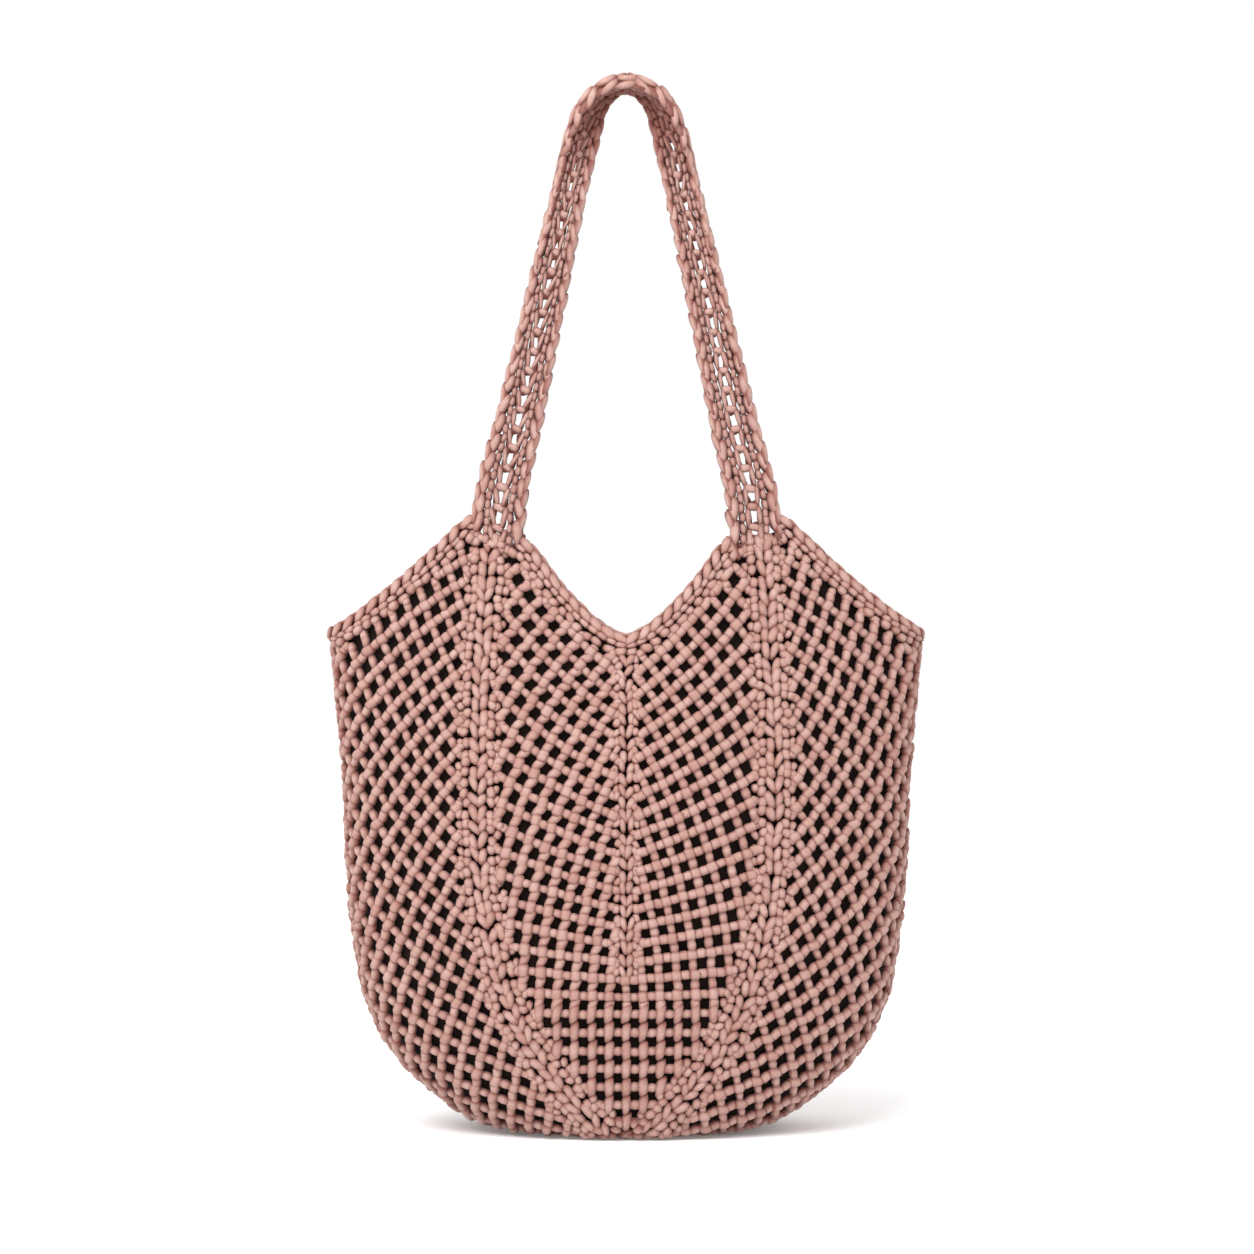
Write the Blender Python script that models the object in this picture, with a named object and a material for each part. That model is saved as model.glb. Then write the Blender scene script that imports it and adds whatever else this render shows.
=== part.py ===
"""Crochet tote bag: a coarse net body with a lining, a flat base, rim edgings and two straps.

Metres, +Z up, the front faces -Y, the origin is the middle of the flat base on the ground.
"""
import math

import bmesh
import bpy
import numpy as np
from mathutils import Vector
from mathutils.geometry import tessellate_polygon

# Body sizes
BODY_WIDTH = 0.400            # across the two rim corners
BODY_DEPTH = 0.144            # front to back at the belly
SHOULDER_HEIGHT = 0.405       # height that the section table's last row stands for
WALL = 0.008                  # thickness of the crochet net
LINING_WALL = 0.0016
LINING_GAP = 0.0005           # between the net and the lining
TOUCH = 0.0003                # between pieces that meet
EDGING_GAP = 0.0006           # between the edging and what it meets

# Rim line of the net, under the edging
NECK_DIP_HEIGHT = 0.3235
STRAP_INNER_HEIGHT = 0.387
STRAP_OUTER_HEIGHT = 0.4025
CORNER_HEIGHT = 0.327
NECK_POWER = 1.6
SLOPE_POWER = 1.27

# Edging cord on the rim
EDGING_HEIGHT = 0.0085
EDGING_THICKNESS = 0.0100
EDGING_FLAT_SHARE = 0.55      # the flat top's width as a share of the cord's
EDGING_ROUND_SHARE = 0.28     # the corners' height as a share of the cord's

# Straps
STRAP_INNER = 0.069           # middle of the bag to the strap's inner edge, at its foot
STRAP_WIDTH = 0.0335          # along the rim at the foot
STRAP_THICKNESS = 0.009
STRAP_APEX_HEIGHT = 0.697     # middle line of the front strap at its top
STRAP_APEX_OFFSET = 0.0158    # middle line of each strap from the bag's middle plane at the top
STRAP_EYELET = 0.0048         # width of the slots along the strap's middle
BACK_STRAP_SPREAD = 0.0027    # the back strap's feet stand this much farther apart, each side
BACK_STRAP_RISE = 0.0055      # and its top this much higher
STRAP_ROUND_SHARE = 0.28      # the rounded edges' size as a share of the thickness
STRAP_DEPTH_POWER = 0.8       # below 1 the legs lean in to the middle plane sooner
STRAP_SEGMENTS = 18           # from the top to one foot
STRAP_SEGMENT_POWER = 1.25    # above 1 the segments are shorter near the top
STRAP_SLOPE_REACH = 0.012     # share of a leg's length over which its direction is taken
EYELETS_PER_LEG = 4
EYELET_SEGMENTS = 2           # segments of a leg that each eyelet is long
EYELET_PITCH = 4              # segments from one eyelet to the next
LOWEST_EYELET = 3             # the lowest segment with an eyelet, counted from the foot

# Net
SIDE_SEAM_WIDTH = 0.020
GAP_SHARE = 0.45              # a gap's size as a share of its net cell
GAP_CORNER_SHARE = 0.86       # how far a gap's corners reach, against a plain rhombus
ROW_SPREAD = 1.2              # rows come closer together towards the base
CENTRE_RIB_FROM = 2           # the centre rib starts this many rows above the base
STRAP_COLUMN = 3              # net column of the rib below each strap's outer edge
SIDE_COLUMN = 6               # net column at the side seam
ROWS = (6, 6.5, 7, 6.5, 6, 5.5, 5)   # rows in each net column, centre to side

# Base
BASE_GAPS_ACROSS = 3
BASE_GAPS_DEEP = 2
BASE_GAP = 0.016
BASE_GAP_PITCH = 0.030
BASE_CLEARANCE = 0.00036      # between the base's edge and the walls

SECTION_POWER = 0.8           # below 1 the level sections have blunter ends than an ellipse

# Level sections of the body, from the base's edge up, as shares of the shoulder height,
# half the body's width and half its depth
SECTION_COLUMNS = ("height", "half_width", "half_depth")
SECTIONS = (
    (0.000, 0.34, 0.70),
    (0.003, 0.42, 0.79),
    (0.015, 0.51, 0.865),
    (0.047, 0.62, 0.925),
    (0.114, 0.77, 0.972),
    (0.212, 0.88, 1.00),
    (0.311, 0.92, 0.993),
    (0.444, 0.945, 0.944),
    (0.578, 0.957, 0.861),
    (0.709, 0.980, 0.757),
    (0.830, 1.000, 0.653),
    (1.000, 1.020, 0.530),
)

# A strap from its foot to its top: share of its rise, of its foot's distance from the
# middle, of its width at the foot, and of its quarter turn at the top
STRAP_COLUMNS = ("rise", "spread", "width", "turn")
STRAP_ROWS = (
    (0.000, 1.000, 1.00, 0.00),
    (0.077, 0.980, 0.94, 0.00),
    (0.242, 0.849, 0.86, 0.00),
    (0.408, 0.720, 0.78, 0.00),
    (0.627, 0.553, 0.69, 0.00),
    (0.737, 0.465, 0.64, 0.04),
    (0.847, 0.377, 0.66, 0.26),
    (0.902, 0.322, 0.72, 0.50),
    (0.942, 0.267, 0.77, 0.70),
    (0.972, 0.195, 0.80, 0.86),
    (1.000, 0.000, 0.82, 1.00),
)

FRONT = {"name": "front", "spread": 0.0, "rise": 0.0, "turn": 1.0}
BACK = {"name": "back", "spread": BACK_STRAP_SPREAD, "rise": BACK_STRAP_RISE, "turn": -1.0}

YARN_COLOUR = (0.60, 0.32, 0.27, 1.0)
YARN_ROUGHNESS = 0.85
LINING_COLOUR = (0.055, 0.026, 0.018, 1.0)
LINING_ROUGHNESS = 0.9
SHARP_ANGLE = 40              # degrees between facets that are shaded as an edge

# Points that the curves are read at
FINE_LEVELS = 401
FINE_ANGLES = 61
FINE_SHARES = 241
RIM_STEPS = 12                # repeats that settle a rim point's level
NORMAL_STEP = 0.004           # places across and levels that a normal is taken over
FORWARD = np.array((0.0, -1.0, 0.0))
MIRROR = np.array((-1.0, 1.0, 1.0))


def clear_scene():
    for old in list(bpy.data.objects):
        bpy.data.objects.remove(old, do_unlink=True)


def make_material(name, colour, roughness):
    material = bpy.data.materials.new(name)
    material.use_nodes = True
    shader = material.node_tree.nodes["Principled BSDF"]
    shader.inputs["Base Color"].default_value = colour
    shader.inputs["Roughness"].default_value = roughness
    shader.inputs["Metallic"].default_value = 0.0
    return material


def smooth_curve(knots, values, at):
    """Cubic through the knots, with the slopes of their neighbours."""
    knots = np.asarray(knots, float)
    values = np.asarray(values, float)
    slopes = np.gradient(values, knots)
    at = min(max(at, knots[0]), knots[-1])
    k = min(int(np.searchsorted(knots, at, side="right")) - 1, len(knots) - 2)
    span = knots[k + 1] - knots[k]
    u = (at - knots[k]) / span
    return ((2 * u**3 - 3 * u**2 + 1) * values[k]
            + (u**3 - 2 * u**2 + u) * span * slopes[k]
            + (-2 * u**3 + 3 * u**2) * values[k + 1]
            + (u**3 - u**2) * span * slopes[k + 1])


class Body:
    """Outer surface of the body.

    A point is named by its place across, 0 at the middle of the front, 1 at the side and 2 at
    the middle of the back, and by its level, 0 at the base's edge and 1 at the shoulders.
    """

    def __init__(self):
        table = dict(zip(SECTION_COLUMNS, np.array(SECTIONS).T))
        self.heights = table["height"] * SHOULDER_HEIGHT
        self.half_widths = table["half_width"] * BODY_WIDTH / 2
        self.half_depths = table["half_depth"] * BODY_DEPTH / 2
        steps = np.hypot(np.diff(self.heights), np.diff(self.half_widths + self.half_depths) / 2)
        knots = np.concatenate(([0.0], np.cumsum(steps)))
        knots /= knots[-1]
        self.levels = np.linspace(0.0, 1.0, FINE_LEVELS)
        self.fine = [np.array([smooth_curve(knots, values, level) for level in self.levels])
                     for values in (self.heights, self.half_widths, self.half_depths)]
        self.angles = np.linspace(0.0, math.pi / 2, FINE_ANGLES)

    def section(self, level):
        if level <= 0.0:
            shrink = 1.0 + level
            return 0.0, self.half_widths[0] * shrink, self.half_depths[0] * shrink
        return tuple(float(np.interp(level, self.levels, values)) for values in self.fine)

    def quarter(self, half_width, half_depth):
        xs = half_width * np.sin(self.angles)
        ys = half_depth * np.abs(np.cos(self.angles)) ** SECTION_POWER
        lengths = np.concatenate(([0.0], np.cumsum(np.hypot(np.diff(xs), np.diff(ys)))))
        return xs, ys, lengths

    def surface(self, across, level):
        height, half_width, half_depth = self.section(level)
        xs, ys, lengths = self.quarter(half_width, half_depth)
        side = -1.0 if across < 0 else 1.0
        place = abs(across)
        depth_sign = -1.0
        if place > 1.0:
            place = 2.0 - place
            depth_sign = 1.0
        run = place * lengths[-1]
        x = side * float(np.interp(run, lengths, xs))
        y = depth_sign * float(np.interp(run, lengths, ys))
        return np.array((x, y, height))

    def normal(self, across, level):
        along = self.surface(across + NORMAL_STEP, level) - self.surface(across - NORMAL_STEP, level)
        up = self.surface(across, level) - self.surface(across, level - NORMAL_STEP)
        out = np.cross(along, up)
        return out / np.linalg.norm(out)

    def point(self, across, level, depth=0.0):
        return self.surface(across, level) - depth * self.normal(across, level)

    def across_at(self, x, level):
        """Place across at which the front reaches a distance from the middle."""
        _, half_width, half_depth = self.section(level)
        xs, _, lengths = self.quarter(half_width, half_depth)
        return float(np.interp(x, xs, lengths)) / lengths[-1]

    def level_at(self, height):
        return float(np.interp(height, self.fine[0], self.levels))


BODY = Body()


def rim_height(x, side):
    """Height of the net's rim at a distance from the middle."""
    x = abs(x)
    inner = STRAP_INNER + side["spread"]
    outer = inner + STRAP_WIDTH
    half_width = BODY_WIDTH / 2
    if x <= inner:
        return NECK_DIP_HEIGHT + (STRAP_INNER_HEIGHT - NECK_DIP_HEIGHT) * (x / inner) ** NECK_POWER
    if x <= outer:
        share = (x - inner) / STRAP_WIDTH
        return STRAP_INNER_HEIGHT + (STRAP_OUTER_HEIGHT - STRAP_INNER_HEIGHT) * share
    share = max(half_width - x, 0.0) / (half_width - outer)
    return CORNER_HEIGHT + (STRAP_OUTER_HEIGHT - CORNER_HEIGHT) * share ** SLOPE_POWER


def rim_level(across, side):
    level = BODY.level_at(STRAP_INNER_HEIGHT)
    for _ in range(RIM_STEPS):
        level = BODY.level_at(rim_height(BODY.surface(across, level)[0], side))
    return level


def seam_share():
    """Half the side seam's width as a share of a quarter of the rim's girth."""
    _, half_width, half_depth = BODY.section(BODY.level_at(CORNER_HEIGHT))
    return SIDE_SEAM_WIDTH / 2 / BODY.quarter(half_width, half_depth)[2][-1]


class Lattice:
    """The net's crossing points on one face: columns run up the face, rows follow the rim."""

    def __init__(self, side):
        self.side = side
        inner = STRAP_INNER + side["spread"]
        inner_across = BODY.across_at(inner, BODY.level_at(STRAP_INNER_HEIGHT))
        outer_across = BODY.across_at(inner + STRAP_WIDTH, BODY.level_at(STRAP_OUTER_HEIGHT))
        edge_across = 1.0 - seam_share()
        run_out = SIDE_COLUMN - STRAP_COLUMN
        columns = [0.0, inner_across / 2, inner_across]
        columns += [outer_across + (edge_across - outer_across) * k / run_out for k in range(run_out + 1)]
        self.columns = columns
        self.levels = {}

    def across(self, column):
        sign = -1.0 if column < 0 else 1.0
        return sign * float(np.interp(abs(column), range(SIDE_COLUMN + 1), self.columns))

    def rows(self, column):
        return float(np.interp(abs(column), range(SIDE_COLUMN + 1), ROWS))

    def place(self, column, row):
        across = self.across(column)
        if column not in self.levels:
            self.levels[column] = rim_level(across, self.side)
        share = max(row, 0.0) / self.rows(column)
        return across, self.levels[column] * share ** ROW_SPREAD

    def point(self, key, depth):
        across, level = self.place(key[0], key[1])
        return turned(BODY.point(across, level, depth), self.side)


def turned(point, side):
    """The back is the front turned half round the upright axis."""
    return np.array((point[0] * side["turn"], point[1] * side["turn"], point[2]))


class Shell:
    """A closed solid grown from one layer of faces: the layer, its inner copy and its rims."""

    def __init__(self):
        self.index = {}
        self.outer = []
        self.inner = []
        self.faces = []

    def vertex(self, key, outer, inner):
        if key not in self.index:
            self.index[key] = len(self.outer)
            self.outer.append(outer)
            self.inner.append(inner)
        return self.index[key]

    def face(self, indices):
        self.faces.append(tuple(indices))

    def solid(self, name, material):
        count = len(self.outer)
        edges = set()
        for face in self.faces:
            for k in range(len(face)):
                edges.add((face[k], face[(k + 1) % len(face)]))
        faces = list(self.faces)
        faces += [tuple(count + k for k in reversed(face)) for face in self.faces]
        for a, b in sorted(edges):
            if (b, a) not in edges:
                faces.append((b, a, count + a, count + b))
        return add_object(name, self.outer + self.inner, faces, material)


def add_object(name, points, faces, material):
    mesh = bpy.data.meshes.new(name)
    mesh.from_pydata([tuple(map(float, point)) for point in points], [], faces)
    mesh.validate()
    model = bmesh.new()
    model.from_mesh(mesh)
    bmesh.ops.recalc_face_normals(model, faces=model.faces)
    if model.calc_volume(signed=True) < 0:
        bmesh.ops.reverse_faces(model, faces=model.faces)
    model.to_mesh(mesh)
    model.free()
    mesh.shade_smooth()
    mesh.set_sharp_from_angle(angle=math.radians(SHARP_ANGLE))
    mesh.materials.append(material)
    part = bpy.data.objects.new(name, mesh)
    bpy.context.scene.collection.objects.link(part)
    return part


def net_cells():
    """Each cell of a face: its middle, its border from the bottom round, and whether it is open."""
    cells = []
    for column in range(-SIDE_COLUMN + 1, SIDE_COLUMN):
        offset = 0.5 if column % 2 == 0 else 1.0
        for step in range(int(ROWS[abs(column)] - offset + 0.5)):
            row = step + offset
            rib = abs(column) == STRAP_COLUMN or (column == 0 and row > CENTRE_RIB_FROM)
            border = [(column + dx, row + dy) for dx, dy in (
                (0, -0.5), (0.5, -0.25), (1, 0), (0.5, 0.25),
                (0, 0.5), (-0.5, 0.25), (-1, 0), (-0.5, -0.25))]
            cells.append(((column, row), border, not rib))
    return cells


def edge_fans():
    """Half cells along the base and the side seams, each a fan about its straight side's middle."""
    fans = []
    for column in range(-SIDE_COLUMN + 1, SIDE_COLUMN, 2):
        arc = ((1, 0), (0.5, 0.25), (0, 0.5), (-0.5, 0.25), (-1, 0))
        fans.append(((column, 0), [(column + dx, dy) for dx, dy in arc]))
    for step in range(int(ROWS[SIDE_COLUMN])):
        row = step + 0.5
        for sign in (-1, 1):
            arc = ((0, 0.5), (-0.5, 0.25), (-1, 0), (-0.5, -0.25), (0, -0.5))
            ring = [(sign * (SIDE_COLUMN + dx), row + dy) for dx, dy in arc]
            fans.append(((sign * SIDE_COLUMN, row), ring if sign > 0 else ring[::-1]))
    return fans


def add_face_layer(shell, lattice, outer_depth, inner_depth, pierced):
    """One face of the body, front or back, as net or as unbroken cloth."""
    tag = lattice.side["name"]

    def corner(key):
        key = (float(key[0]), float(key[1]))
        return shell.vertex((tag, key), lattice.point(key, outer_depth), lattice.point(key, inner_depth))

    for middle, border, is_open in net_cells():
        ring = [corner(key) for key in border]
        count = len(ring)
        if is_open and pierced:
            outer_middle = lattice.point(middle, outer_depth)
            inner_middle = lattice.point(middle, inner_depth)
            gap = []
            for k, index in enumerate(ring):
                share = GAP_SHARE * (GAP_CORNER_SHARE if k % 2 == 0 else 1.0)
                outer = outer_middle + share * (shell.outer[index] - outer_middle)
                inner = inner_middle + share * (shell.inner[index] - inner_middle)
                gap.append(shell.vertex((tag, middle, k), outer, inner))
            for k in range(count):
                follow = (k + 1) % count
                shell.face((ring[k], ring[follow], gap[follow], gap[k]))
        else:
            hub = corner(middle)
            for k in range(count):
                shell.face((hub, ring[k], ring[(k + 1) % count]))
    for middle, arc in edge_fans():
        hub = corner(middle)
        for start, end in zip(arc[:-1], arc[1:]):
            shell.face((hub, corner(start), corner(end)))


def seam_rows():
    return [step / 2 for step in range(int(ROWS[SIDE_COLUMN] * 2) + 1)]


def seam_columns(clearance):
    """Places across one side seam, from the front net's edge to the back net's."""
    half = seam_share() * (1.0 - clearance)
    return [1.0 + half * share for share in (-1.0, -0.5, 0.0, 0.5, 1.0)]


def seam_points(front, back, sign, across, row, depths):
    """Outer and inner point of a side seam, its row running from the front's to the back's."""
    front_level = front.place(float(SIDE_COLUMN), row)[1]
    back_level = back.place(float(SIDE_COLUMN), row)[1]
    share = 0.5 + 0.5 * (across - 1.0) / seam_share()
    level = front_level + (back_level - front_level) * share
    return [BODY.point(across, level, depth) * (sign, 1, 1) for depth in depths]


def build_net(lattice, name, material):
    shell = Shell()
    add_face_layer(shell, lattice, 0.0, WALL, pierced=True)
    return shell.solid(name, material)


def seam_quads(shell, grid, sign):
    for low, high in zip(grid[:-1], grid[1:]):
        for k in range(len(low) - 1):
            quad = (low[k], low[k + 1], high[k + 1], high[k])
            shell.face(quad if sign > 0 else quad[::-1])


def build_side_seam(front, back, sign, name, material):
    shell = Shell()
    clearance = 2 * TOUCH / (SIDE_SEAM_WIDTH / 2)
    grid = []
    for row in seam_rows():
        line = []
        for k, across in enumerate(seam_columns(clearance)):
            points = seam_points(front, back, sign, across, row, (0.0, WALL))
            line.append(shell.vertex(("seam", row, k), *points))
        grid.append(line)
    seam_quads(shell, grid, sign)
    return shell.solid(name, material)


def base_ring(front, back, level, depth):
    """The base's edge, once round, with a point wherever the walls above have one."""
    ring = []
    for column in range(-SIDE_COLUMN, SIDE_COLUMN + 1):
        ring.append(BODY.point(front.across(column), level, depth))
    middles = seam_columns(0.0)[1:-1]
    for across in middles:
        ring.append(BODY.point(across, level, depth))
    for column in range(-SIDE_COLUMN, SIDE_COLUMN + 1):
        ring.append(turned(BODY.point(back.across(column), level, depth), BACK))
    for across in middles:
        ring.append(BODY.point(across, level, depth) * (-1, -1, 1))
    return ring


def base_gap_loops():
    """Square gaps in a straight grid, clear of the middle of the base."""
    loops = []
    half = BASE_GAP / 2
    for i in range(BASE_GAPS_ACROSS):
        for j in range(BASE_GAPS_DEEP):
            x = (i - (BASE_GAPS_ACROSS - 1) / 2) * BASE_GAP_PITCH
            y = (j - (BASE_GAPS_DEEP - 1) / 2) * BASE_GAP_PITCH
            loops.append([(x - half, y - half), (x + half, y - half),
                          (x + half, y + half), (x - half, y + half)])
    return loops


def build_base(front, back, material):
    shell = Shell()
    flat_run = float(min(BODY.half_widths[0], BODY.half_depths[0]))
    inset = -BASE_CLEARANCE / flat_run
    low = base_ring(front, back, inset, 0.0)
    high = base_ring(front, back, inset, WALL)
    # The underside faces out, so its loop runs the other way round
    loops = [[(p[0], p[1], 0.0) for p in low]]
    keys = [shell.vertex(("edge", k), low[k], high[k]) for k in range(len(low))]
    for g, loop in enumerate(base_gap_loops()):
        loops.append([(x, y, 0.0) for x, y in reversed(loop)])
        for k, (x, y) in enumerate(reversed(loop)):
            keys.append(shell.vertex(("gap", g, k), np.array((x, y, 0.0)), np.array((x, y, WALL))))
    for triangle in tessellate_polygon([[Vector(p) for p in loop] for loop in loops]):
        a, b, c = (np.array(shell.outer[keys[k]])[:2] for k in triangle)
        area = (b[0] - a[0]) * (c[1] - a[1]) - (b[1] - a[1]) * (c[0] - a[0])
        face = [keys[k] for k in triangle]
        shell.face(face if area < 0 else face[::-1])
    return shell.solid("base_net", material)


def build_lining(front, back, material):
    """An unbroken bag just inside the net, with the net's own facets."""
    shell = Shell()
    outer_depth = WALL + LINING_GAP
    inner_depth = outer_depth + LINING_WALL
    for lattice in (front, back):
        add_face_layer(shell, lattice, outer_depth, inner_depth, pierced=False)
    ring = [shell.index[("front", (float(c), 0.0))] for c in range(-SIDE_COLUMN, SIDE_COLUMN + 1)]
    feet = {sign: join_lining_side(shell, front, back, sign, (outer_depth, inner_depth))
            for sign in (1, -1)}
    ring += feet[1]
    ring += [shell.index[("back", (float(c), 0.0))] for c in range(-SIDE_COLUMN, SIDE_COLUMN + 1)]
    ring += feet[-1]
    shell.face(ring[::-1])
    return shell.solid("lining", material)


def join_lining_side(shell, front, back, sign, depths):
    """Joins the lining's front and back at one side and gives the middle points of its foot."""
    columns = seam_columns(0.0)
    last = len(columns) - 1
    front_column = float(SIDE_COLUMN * sign)
    grid = []
    for row in seam_rows():
        line = []
        for k, across in enumerate(columns):
            if k == 0:
                line.append(shell.index[("front", (front_column, float(row)))])
            elif k == last:
                line.append(shell.index[("back", (-front_column, float(row)))])
            else:
                points = seam_points(front, back, sign, across, row, depths)
                line.append(shell.vertex(("seam", sign, row, k), *points))
        grid.append(line)
    seam_quads(shell, grid, sign)
    foot = grid[0][1:last]
    return foot if sign > 0 else foot[::-1]


def edging_section():
    """Eight-sided section of the edging cord: places through the wall and up from its foot."""
    half = EDGING_THICKNESS / 2
    flat = half * EDGING_FLAT_SHARE
    low = EDGING_GAP
    high = EDGING_GAP + EDGING_HEIGHT
    corner = EDGING_HEIGHT * EDGING_ROUND_SHARE
    return [(-flat, low), (-half, low + corner), (-half, high - corner), (-flat, high),
            (flat, high), (half, high - corner), (half, low + corner), (flat, low)]


def rim_frame(points, normals, k):
    """Direction along the rim and up from it, square to the wall."""
    before = points[max(k - 1, 0)]
    after = points[min(k + 1, len(points) - 1)]
    along = after - before
    along = along - normals[k] * np.dot(along, normals[k])
    along = along / np.linalg.norm(along)
    return along, np.cross(normals[k], along) * -1.0


def sweep_edging(places, ends, name, material):
    """A cord along the rim through places of (middle point, outward direction).

    Each end may be cut along a plane, given by a point and the direction out of the cord.
    """
    points = [place[0] for place in places]
    normals = [place[1] for place in places]
    section = edging_section()
    rings = []
    for k, point in enumerate(points):
        along, up = rim_frame(points, normals, k)
        if up[2] < 0:
            up = -up
        ring = [point + normals[k] * through + up * rise for through, rise in section]
        cut = ends[0] if k == 0 else ends[1] if k == len(points) - 1 else None
        if cut is not None:
            plane_point, plane_normal = cut
            slide = np.dot(along, plane_normal)
            ring = [q + along * np.dot(plane_point - q, plane_normal) / slide for q in ring]
        rings.append(ring)
    count = len(section)
    vertices = [q for ring in rings for q in ring]
    faces = []
    for k in range(len(rings) - 1):
        for m in range(count):
            n = (m + 1) % count
            faces.append((k * count + m, k * count + n, (k + 1) * count + n, (k + 1) * count + m))
    faces.append(tuple(range(count))[::-1])
    faces.append(tuple((len(rings) - 1) * count + m for m in range(count)))
    return add_object(name, vertices, faces, material)


def rim_point(lattice, column):
    """Middle of the net's rim at a column and the way the wall faces there, as on the front."""
    across, level = lattice.place(column, lattice.rows(column))
    return BODY.point(across, level, WALL / 2), BODY.normal(across, level)


def rim_place(lattice, column):
    middle, face = rim_point(lattice, column)
    return turned(middle, lattice.side), turned(face, lattice.side)


def strap_side_plane(side, sign, edge):
    """Plane along one long side of a strap's foot: sign is the leg, edge -1 inner or 1 outer."""
    stations = strap_stations(side)
    foot = stations[-1]
    near = stations[-2]
    corners = []
    for station in (foot, near):
        corners.append(station["middle"] + station["out"] * edge * (station["width"] / 2))
    upward = corners[1] - corners[0]
    across = foot["face"]
    normal = np.cross(upward, across)
    normal /= np.linalg.norm(normal)
    if np.dot(normal, foot["out"]) * edge < 0:
        normal = -normal
    point = corners[0] + normal * EDGING_GAP
    mirror = np.array((sign, 1.0, 1.0))
    return turned(point * mirror, side), turned(normal * mirror, side)


def build_neck_edging(lattice, material):
    side = lattice.side
    columns = [k / 2 for k in range(-4, 5)]
    places = [rim_place(lattice, column) for column in columns]
    ends = (strap_side_plane(side, -1.0, -1.0), strap_side_plane(side, 1.0, -1.0))
    return sweep_edging(places, ends, "neck_edging_" + side["name"], material)


def build_side_edging(front, back, sign, name, material):
    """One cord from the front strap down the slope, round the corner and up to the back strap."""
    columns = [STRAP_COLUMN + k / 2 for k in range(2 * (SIDE_COLUMN - STRAP_COLUMN) + 1)]
    places = [rim_place(front, sign * column) for column in columns]
    for across in seam_columns(0.0)[1:-1]:
        outer, inner = seam_points(front, back, sign, across, ROWS[SIDE_COLUMN], (0.0, WALL))
        places.append(((outer + inner) / 2, (outer - inner) / WALL))
    places += [rim_place(back, -sign * column) for column in reversed(columns)]
    ends = (strap_side_plane(FRONT, sign, 1.0), strap_side_plane(BACK, -sign, 1.0))
    return sweep_edging(places, ends, name, material)


def strap_foot(side):
    """Where the right leg stands on the net: middle, direction along the rim, face and width."""
    lattice = Lattice(side)
    inner, inner_face = rim_point(lattice, STRAP_COLUMN - 1.0)
    outer, outer_face = rim_point(lattice, STRAP_COLUMN)
    out = outer - inner
    width = float(np.linalg.norm(out))
    out = out / width
    face = inner_face + outer_face
    face = face - out * np.dot(face, out)
    face = face / np.linalg.norm(face)
    up = np.cross(out, face) * -1.0
    if up[2] < 0:
        up = -up
    return (inner + outer) / 2 + up * TOUCH, out, face, width


def strap_value(column, share):
    """A column of the strap table at a share of the strap's rise."""
    table = dict(zip(STRAP_COLUMNS, np.array(STRAP_ROWS).T))
    return smooth_curve(table["rise"], table[column], share)


def strap_path(foot, side, share):
    """Middle of the right leg of a strap at a share of its rise, before it is turned."""
    apex_height = STRAP_APEX_HEIGHT + side["rise"]
    height = foot[2] + (apex_height - foot[2]) * share
    depth = foot[1] + (-STRAP_APEX_OFFSET - foot[1]) * share ** STRAP_DEPTH_POWER
    return np.array((foot[0] * strap_value("spread", share), depth, height))


def strap_stations(side):
    """Cross-sections of the right leg from the top of the strap down to its foot."""
    foot, foot_out, foot_face, width = strap_foot(side)
    # Closer together near the top, where the leg runs level
    shares = 1.0 - np.linspace(0.0, 1.0, FINE_SHARES) ** 2
    line = np.array([strap_path(foot, side, share) for share in shares])
    run = np.concatenate(([0.0], np.cumsum(np.linalg.norm(np.diff(line, axis=0), axis=1))))
    stations = []
    for k in range(STRAP_SEGMENTS + 1):
        at = run[-1] * (k / STRAP_SEGMENTS) ** STRAP_SEGMENT_POWER
        share = float(np.interp(at, run, shares))
        middle = np.array([np.interp(at, run, line[:, axis]) for axis in range(3)])
        step = run[-1] * STRAP_SLOPE_REACH
        ahead = np.array([np.interp(min(at + step, run[-1]), run, line[:, a]) for a in range(3)])
        behind = np.array([np.interp(max(at - step, 0.0), run, line[:, a]) for a in range(3)])
        along = ahead - behind
        if k == 0:
            along = np.array((1.0, 0.0, 0.0))
        along = along / np.linalg.norm(along)
        turn = strap_value("turn", share) * math.pi / 2
        upright = np.array((-along[2], 0.0, along[0]))
        out = upright * math.cos(turn) + FORWARD * math.sin(turn)
        out = out - along * np.dot(out, along)
        out = out / np.linalg.norm(out)
        face = np.cross(along, out)
        # The leg's lowest stretch turns into line with the rim
        blend = max(0.0, 1.0 - share / STRAP_ROWS[1][0])
        out = out * (1.0 - blend) + foot_out * blend
        out = out / np.linalg.norm(out)
        face = face * (1.0 - blend) + foot_face * blend
        face = face - out * np.dot(face, out)
        face = face / np.linalg.norm(face)
        stations.append({"middle": middle, "out": out, "face": face,
                         "width": width * strap_value("width", share)})
    return stations


def strap_section(station):
    """Twelve corners of one cross-section, from the inner edge round over the face."""
    half = station["width"] / 2
    thick = STRAP_THICKNESS / 2
    round_off = STRAP_THICKNESS * STRAP_ROUND_SHARE
    slot = STRAP_EYELET / 2
    corners = [(-half, thick - round_off), (-half + round_off, thick), (-slot, thick), (slot, thick),
               (half - round_off, thick), (half, thick - round_off), (half, -thick + round_off),
               (half - round_off, -thick), (slot, -thick), (-slot, -thick), (-half + round_off, -thick),
               (-half, -thick + round_off)]
    return [station["middle"] + station["out"] * a + station["face"] * b for a, b in corners]


def eyelet_segments():
    """Segments of a leg that are slots, counted from the top."""
    open_segments = set()
    for k in range(EYELETS_PER_LEG):
        last = STRAP_SEGMENTS - LOWEST_EYELET - EYELET_PITCH * k
        open_segments.update(range(last - EYELET_SEGMENTS + 1, last + 1))
    return open_segments


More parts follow.
